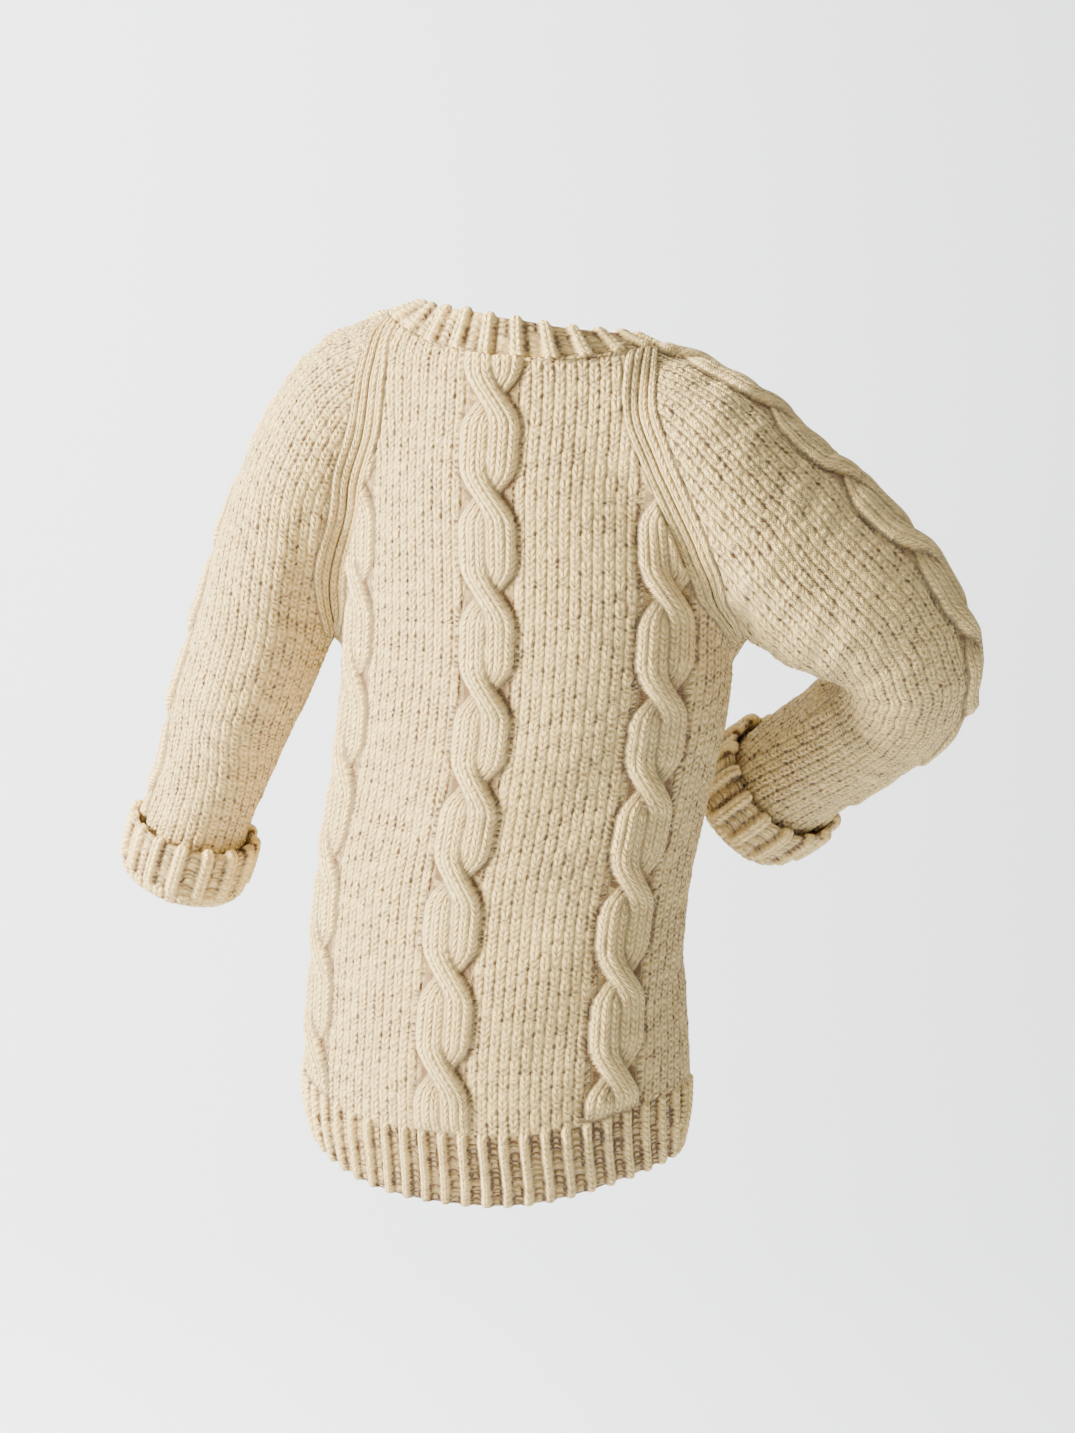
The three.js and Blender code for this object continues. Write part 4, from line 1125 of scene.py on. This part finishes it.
def fibres(name, piece, count, rng):
    polygons = piece.data.polygons

    def read(key, width):
        values = np.empty(len(polygons) * width, np.float32)
        polygons.foreach_get(key, values)
        return values

    centres = read("center", 3).reshape(-1, 3) / MM
    directions = read("normal", 3).reshape(-1, 3)
    weights = read("area", 1)
    weights[dot(directions, normal_at(centres)) <= 0.1] = 0
    picked = rng.choice(len(weights), count, p=weights / weights.sum())
    root, normal = centres[picked], directions[picked].astype(float)
    side = unit(np.cross(normal, rng.normal(size=(count, 3))))
    lean = unit(rng.normal(size=(count, 3)))
    long = rng.uniform(2.5, 8.0, (count, 1))
    stations = [root - normal * 0.6, root + normal * long * 0.4 + lean * long * 0.25,
                root + normal * long * 0.55 + lean * long * 0.8 + side * long * 0.2]
    third = unit(np.cross(normal, side))
    points = []
    for station, size in zip(stations, (1.0, 0.9, 0.35)):
        for k in range(3):
            a = 2 * math.pi * k / 3
            points.append(station + (side * math.cos(a) + third * math.sin(a)) * FIBRE_RADIUS * size)
    points = np.stack(points, axis=1).reshape(-1, 3)
    pattern = []
    for level in (0, 3):
        for a, b in ((0, 1), (1, 2), (2, 0)):
            pattern.append((level + a, level + b, level + b + 3, level + a + 3))
    first = np.arange(count)[:, None] * 9
    sides = (first[:, None] + np.array(pattern)[None]).reshape(-1, 4)
    halo = bpy.data.meshes.new(name)
    halo.from_pydata((points * MM).tolist(), [], [
        *sides.tolist(), *(first + [6, 7, 8]).tolist(), *(first + [2, 1, 0]).tolist()])
    halo.shade_smooth()
    return placed(name, halo)


# shader values with plain arithmetic
class Value:
    """A socket that can be added, multiplied and so on, each step a Math node."""

    def __init__(self, nodes, socket):
        self.nodes = nodes
        self.socket = socket

    def step(self, operation, *inputs):
        node = self.nodes.add("ShaderNodeMath", {"operation": operation}, dict(enumerate(inputs)))
        return Value(self.nodes, node.outputs[0])

    def __add__(self, other):
        return self.step("ADD", self, other)

    def __sub__(self, other):
        return self.step("SUBTRACT", self, other)

    def __mul__(self, other):
        return self.step("MULTIPLY", self, other)

    def __pow__(self, other):
        return self.step("POWER", self, other)

    def __rsub__(self, other):
        return self.step("SUBTRACT", other, self)

    __radd__ = __add__
    __rmul__ = __mul__


class Nodes:
    """A material's nodes, each made by its type, settings and sockets."""

    def __init__(self, name):
        self.material = bpy.data.materials.new(name)
        self.material.use_nodes = True
        self.tree = self.material.node_tree
        self.tree.nodes.clear()

    def add(self, kind, settings=None, sockets=None):
        node = self.tree.nodes.new(kind)
        for key, value in (settings or {}).items():
            setattr(node, key, value)
        for key, value in (sockets or {}).items():
            if isinstance(value, Value):
                value = value.socket
            if isinstance(value, bpy.types.NodeSocket):
                self.tree.links.new(value, node.inputs[key])
            else:
                node.inputs[key].default_value = value
        return node

    def value(self, kind, settings=None, sockets=None, output=0):
        return Value(self, self.add(kind, settings, sockets).outputs[output])

    def finish(self, shader):
        self.add("ShaderNodeOutputMaterial", None, {"Surface": shader.outputs[0]})
        return self.material


# the cream of the lit wool, its warmer blotches, and the brown of painted shade in the depths between
# stitches
CREAM = (0.94, 0.665, 0.235, 1)
WARM = (0.99, 0.745, 0.31, 1)
SHADE = (0.19, 0.10, 0.03, 1)


# depth: how strongly the painted shade in the grooves darkens the colour
def cream_wool(name, depth):
    nodes = Nodes(name)
    place = nodes.add("ShaderNodeTexCoord").outputs["Object"]
    stitches = nodes.add("ShaderNodeUVMap", {"uv_map": "stitches"}).outputs[0]
    counted = nodes.add("ShaderNodeSeparateXYZ", None, {0: stitches})
    s, t = Value(nodes, counted.outputs[0]), Value(nodes, counted.outputs[1])
    painted_shade = nodes.value("ShaderNodeAttribute", {"attribute_name": "painted_shade"}, output=2)
    knit = nodes.value("ShaderNodeAttribute", {"attribute_name": "knit"}, output=2)

    def noise(at, scale, detail, settings=None):
        return nodes.value("ShaderNodeTexNoise", settings, {"Vector": at, "Scale": scale, "Detail": detail})

    def chance_in_cell(across, along):
        floors = {0: s.step("FLOOR", across), 1: s.step("FLOOR", along)}
        cell = nodes.add("ShaderNodeCombineXYZ", None, floors).outputs[0]
        return nodes.value("ShaderNodeTexWhiteNoise", {"noise_dimensions": "2D"}, {"Vector": cell})

    def wave(turns):
        return s.step("COSINE", turns * 2 * math.pi)

    blotches, tufts, hairs = noise(place, 14.0, 3.0), noise(place, 240.0, 4.0), noise(place, 1100.0, 3.0)

    # each stitch a little out of line
    own = chance_in_cell(s, t)
    drift = noise(stitches, 0.45, 2.0, {"noise_dimensions": "2D"})
    t = t + (drift - 0.5) * 1.3 + (own - 0.5) * (1 - knit) * 0.9

    # the two legs of each knit stitch, and the bar of each purl stitch
    off = s.step("ABSOLUTE", s.step("FRACT", s) - 0.5) * 2
    arch = s.step("MAXIMUM", s.step("SINE", off * math.pi), 0.001) ** 0.7
    leg = arch * (wave(t - off * 0.75 + (tufts - 0.5) * 0.4) * 0.34 + 0.66)
    bend = wave(s)
    bar = (wave(t + bend * 0.08 + (tufts - 0.5) * 0.5) * 0.5 + 0.5) * (0.72 - bend * 0.28)
    stitch = leg * knit + bar * (1 - knit)
    twist = s.step("SINE", (t * 5 + off * 4 + hairs * 2) * math.pi)

    # painted shade: holes where four stitches of the ground meet, some open and some closed, are painted
    # dark, and so are the grooves and the low parts of each stitch
    gap = chance_in_cell(s + 0.5, t + 0.5)
    hole = (s.step("COSINE", s * math.pi) ** 2) ** 3 * s.step("COSINE", t * math.pi) ** 2 * gap * gap
    low = s.step("MAXIMUM", 1 - stitch * 1.2, 0.0) ** 1.6
    shaded = painted_shade * depth + low * (own * 0.5 + 0.3) + hole * (1 - knit) * 2.6
    shaded = shaded + (tufts - 0.5) * 0.3 - 0.2
    deep = nodes.value("ShaderNodeClamp", None, {"Value": shaded, "Min": 0.0, "Max": 1.0})
    # the cream is mixed toward the brown wherever shade is painted
    tone = nodes.add("ShaderNodeMix", {"data_type": "RGBA"}, {0: blotches, 6: CREAM, 7: WARM})
    colour = nodes.add("ShaderNodeMix", {"data_type": "RGBA"}, {0: deep, 6: tone.outputs[2], 7: SHADE})
    relief = stitch * (own * 0.8 * (1 - knit) + 0.8) - hole * (1 - knit) * 2
    relief = relief + twist * 0.1 + tufts * 0.45 + hairs * 0.2
    bump = nodes.add("ShaderNodeBump", None, {"Strength": 1.0, "Distance": 0.0044, "Height": relief})
    wool = nodes.add("ShaderNodeBsdfPrincipled", None, {
        "Base Color": colour.outputs[2],
        "Roughness": 0.92,
        "Sheen Weight": 0.2,
        "Sheen Roughness": 0.6,
        "Specular IOR Level": 0.15,
        "Subsurface Weight": 0.08,
        "Subsurface Scale": 0.003,
        "Normal": bump.outputs[0],
    })
    return nodes.finish(wool)


def loose_fibre():
    nodes = Nodes("loose_wool_fibre")
    hair = nodes.add("ShaderNodeBsdfPrincipled", None, {
        "Base Color": (0.92, 0.74, 0.42, 1),
        "Roughness": 0.8,
        "Specular IOR Level": 0.2,
    })
    return nodes.finish(hair)


def plain(name, colour, roughness):
    nodes = Nodes(name)
    return nodes.finish(nodes.add("ShaderNodeBsdfPrincipled", None, {
        "Base Color": colour, "Roughness": roughness, "Specular IOR Level": 0.1}))


# panels: where each cable lies across, where it crosses, whether a hem is ribbed, mesh columns
PANELS = {
    "back": (BODY_CABLES, BODY_CROSSING_HEIGHT, True, 229),
    "front": (BODY_CABLES, BODY_CROSSING_HEIGHT, True, 249),
    "sleeve_left": ((0.0,), SLEEVE_CROSSING_HEIGHT, False, 221),
    "sleeve_right": ((-22.0,), SLEEVE_CROSSING_HEIGHT, False, 249),
}
# every piece: width and length laid flat and area, in metres
FLAT = {
    "back": ((0.495, 0.805), 0.320),
    "front": ((0.495, 0.760), 0.305),
    "sleeve_left": ((0.402, 0.585), 0.180),
    "sleeve_right": ((0.485, 0.684), 0.201),
    "neckband": ((0.760, 0.037), 0.0222),
    "cuff_left": ((0.340, 0.104), None),
    "cuff_right": ((0.365, 0.104), None),
}
ROW_STEP = STITCH_HEIGHT / 2.9
FIBRES = {"back": 2600, "front": 1200, "sleeve_left": 1400, "sleeve_right": 1800, "neckband": 500,
          "cuff_left": 700, "cuff_right": 700}

# the panels' grooves get stronger painted shade than the ribs'
panel_wool = cream_wool("cream_wool_panels", 1.1)
rib_wool = cream_wool("cream_wool_ribs", 0.8)
fibre_wool = loose_fibre()

for order, (name, (flat, area)) in enumerate(FLAT.items()):
    rng = np.random.default_rng(RANDOM_SEED + order)
    side = name.split("_")[-1]
    if name in PANELS:
        cables, crossing, hem, columns = PANELS[name]
        grid = sleeve_grid(side) if name.startswith("sleeve") else body_grid(name)
        grid.run = grid.run - crossing
        piece = cloth_from(f"{name}_knit", grid.evened(), cables, hem, ROW_STEP, columns, rng)
    elif name == "neckband":
        piece = neckband_piece(f"{name}_knit")
    else:
        piece = cuff_piece(f"{name}_knit", side, rng)
    piece.data.materials.append(panel_wool if name in PANELS else rib_wool)
    halo = fibres(f"{name}_fibres", piece, FIBRES[name], rng)
    halo.data.materials.append(fibre_wool)
    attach(piece, "root")
    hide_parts(name)
    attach(halo, "root")


# camera, level with the neck, behind the sweater and toward its right sleeve
LENS = 61.67
CAMERA_PLACE = (-0.792, 2.052, 0.025)
AHEAD = np.array([0.3584, -0.9336])
CAMERA_FALL = math.radians(9.6)


def look_along(thing, direction):
    thing.rotation_euler = Vector(direction).to_track_quat("-Z", "Y").to_euler()


eye = bpy.data.cameras.new("camera")
eye.lens = LENS
camera = placed("camera", eye)
camera.location = CAMERA_PLACE
look_along(camera, (*(AHEAD * math.cos(CAMERA_FALL)), -math.sin(CAMERA_FALL)))
bpy.context.scene.camera = camera


# pale floor that sweeps up into a backdrop ahead of the camera
FLOOR_LEVEL = -1.50
FLOOR_NEAR = -6.0
FLOOR_FAR = 1.6
FLOOR_HALF_WIDTH = 7.0
BACKDROP_BEND = 1.2
BACKDROP_TOP = 6.0


def sweep():
    across = np.array([-AHEAD[1], AHEAD[0]])
    bend = [(FLOOR_FAR + BACKDROP_BEND * math.sin(a), BACKDROP_BEND - BACKDROP_BEND * math.cos(a))
            for a in np.linspace(0.1, math.pi / 2, 16)]
    profile = [(FLOOR_NEAR, 0.0), (FLOOR_FAR, 0.0), *bend, (FLOOR_FAR + BACKDROP_BEND, BACKDROP_TOP)]
    points = []
    for depth, height in profile:
        for side in (-FLOOR_HALF_WIDTH, FLOOR_HALF_WIDTH):
            x, y = AHEAD * depth + across * side
            points.append((x, y, FLOOR_LEVEL + height))
    faces = [(2 * i, 2 * i + 1, 2 * i + 3, 2 * i + 2) for i in range(len(profile) - 1)]
    mesh = bpy.data.meshes.new("floor")
    mesh.from_pydata(points, [], faces)
    mesh.shade_smooth()
    mesh.materials.append(plain("pale_floor", (0.86, 0.90, 0.98, 1), 0.8))
    return placed("floor", mesh)


sweep()


# soft light: a strong lamp at the picture's left, weak ones at its right and above, one for the backdrop
def lamp(name, place, target, size, power, colour):
    data = bpy.data.lights.new(name, "AREA")
    data.shape = "RECTANGLE"
    data.size, data.size_y = size
    data.energy = power
    data.color = colour
    light = placed(name, data)
    light.location = place
    look_along(light, Vector(target) - Vector(place))


lamp("key_lamp", (2.25, 1.55, 0.85), (0.0, 0.0, -0.35), (0.9, 1.1), 690, (1.0, 0.94, 0.82))
lamp("fill_lamp", (-2.7, 1.9, 0.5), (0.0, 0.0, -0.35), (2.0, 2.4), 18, (1.0, 0.95, 0.88))
lamp("top_lamp", (0.2, 0.4, 2.6), (0.0, 0.0, -0.4), (1.8, 1.8), 38, (1.0, 0.98, 0.95))
lamp("backdrop_lamp", (2.4, -0.8, 2.4), (2.0, -2.6, -0.4), (1.6, 1.0), 80, (0.95, 0.97, 1.0))

world = bpy.data.worlds.new("soft_sky")
bpy.context.scene.world = world
world.use_nodes = True
sky = world.node_tree.nodes["Background"].inputs
sky["Color"].default_value = (0.90, 0.91, 0.94, 1)
sky["Strength"].default_value = 0.52
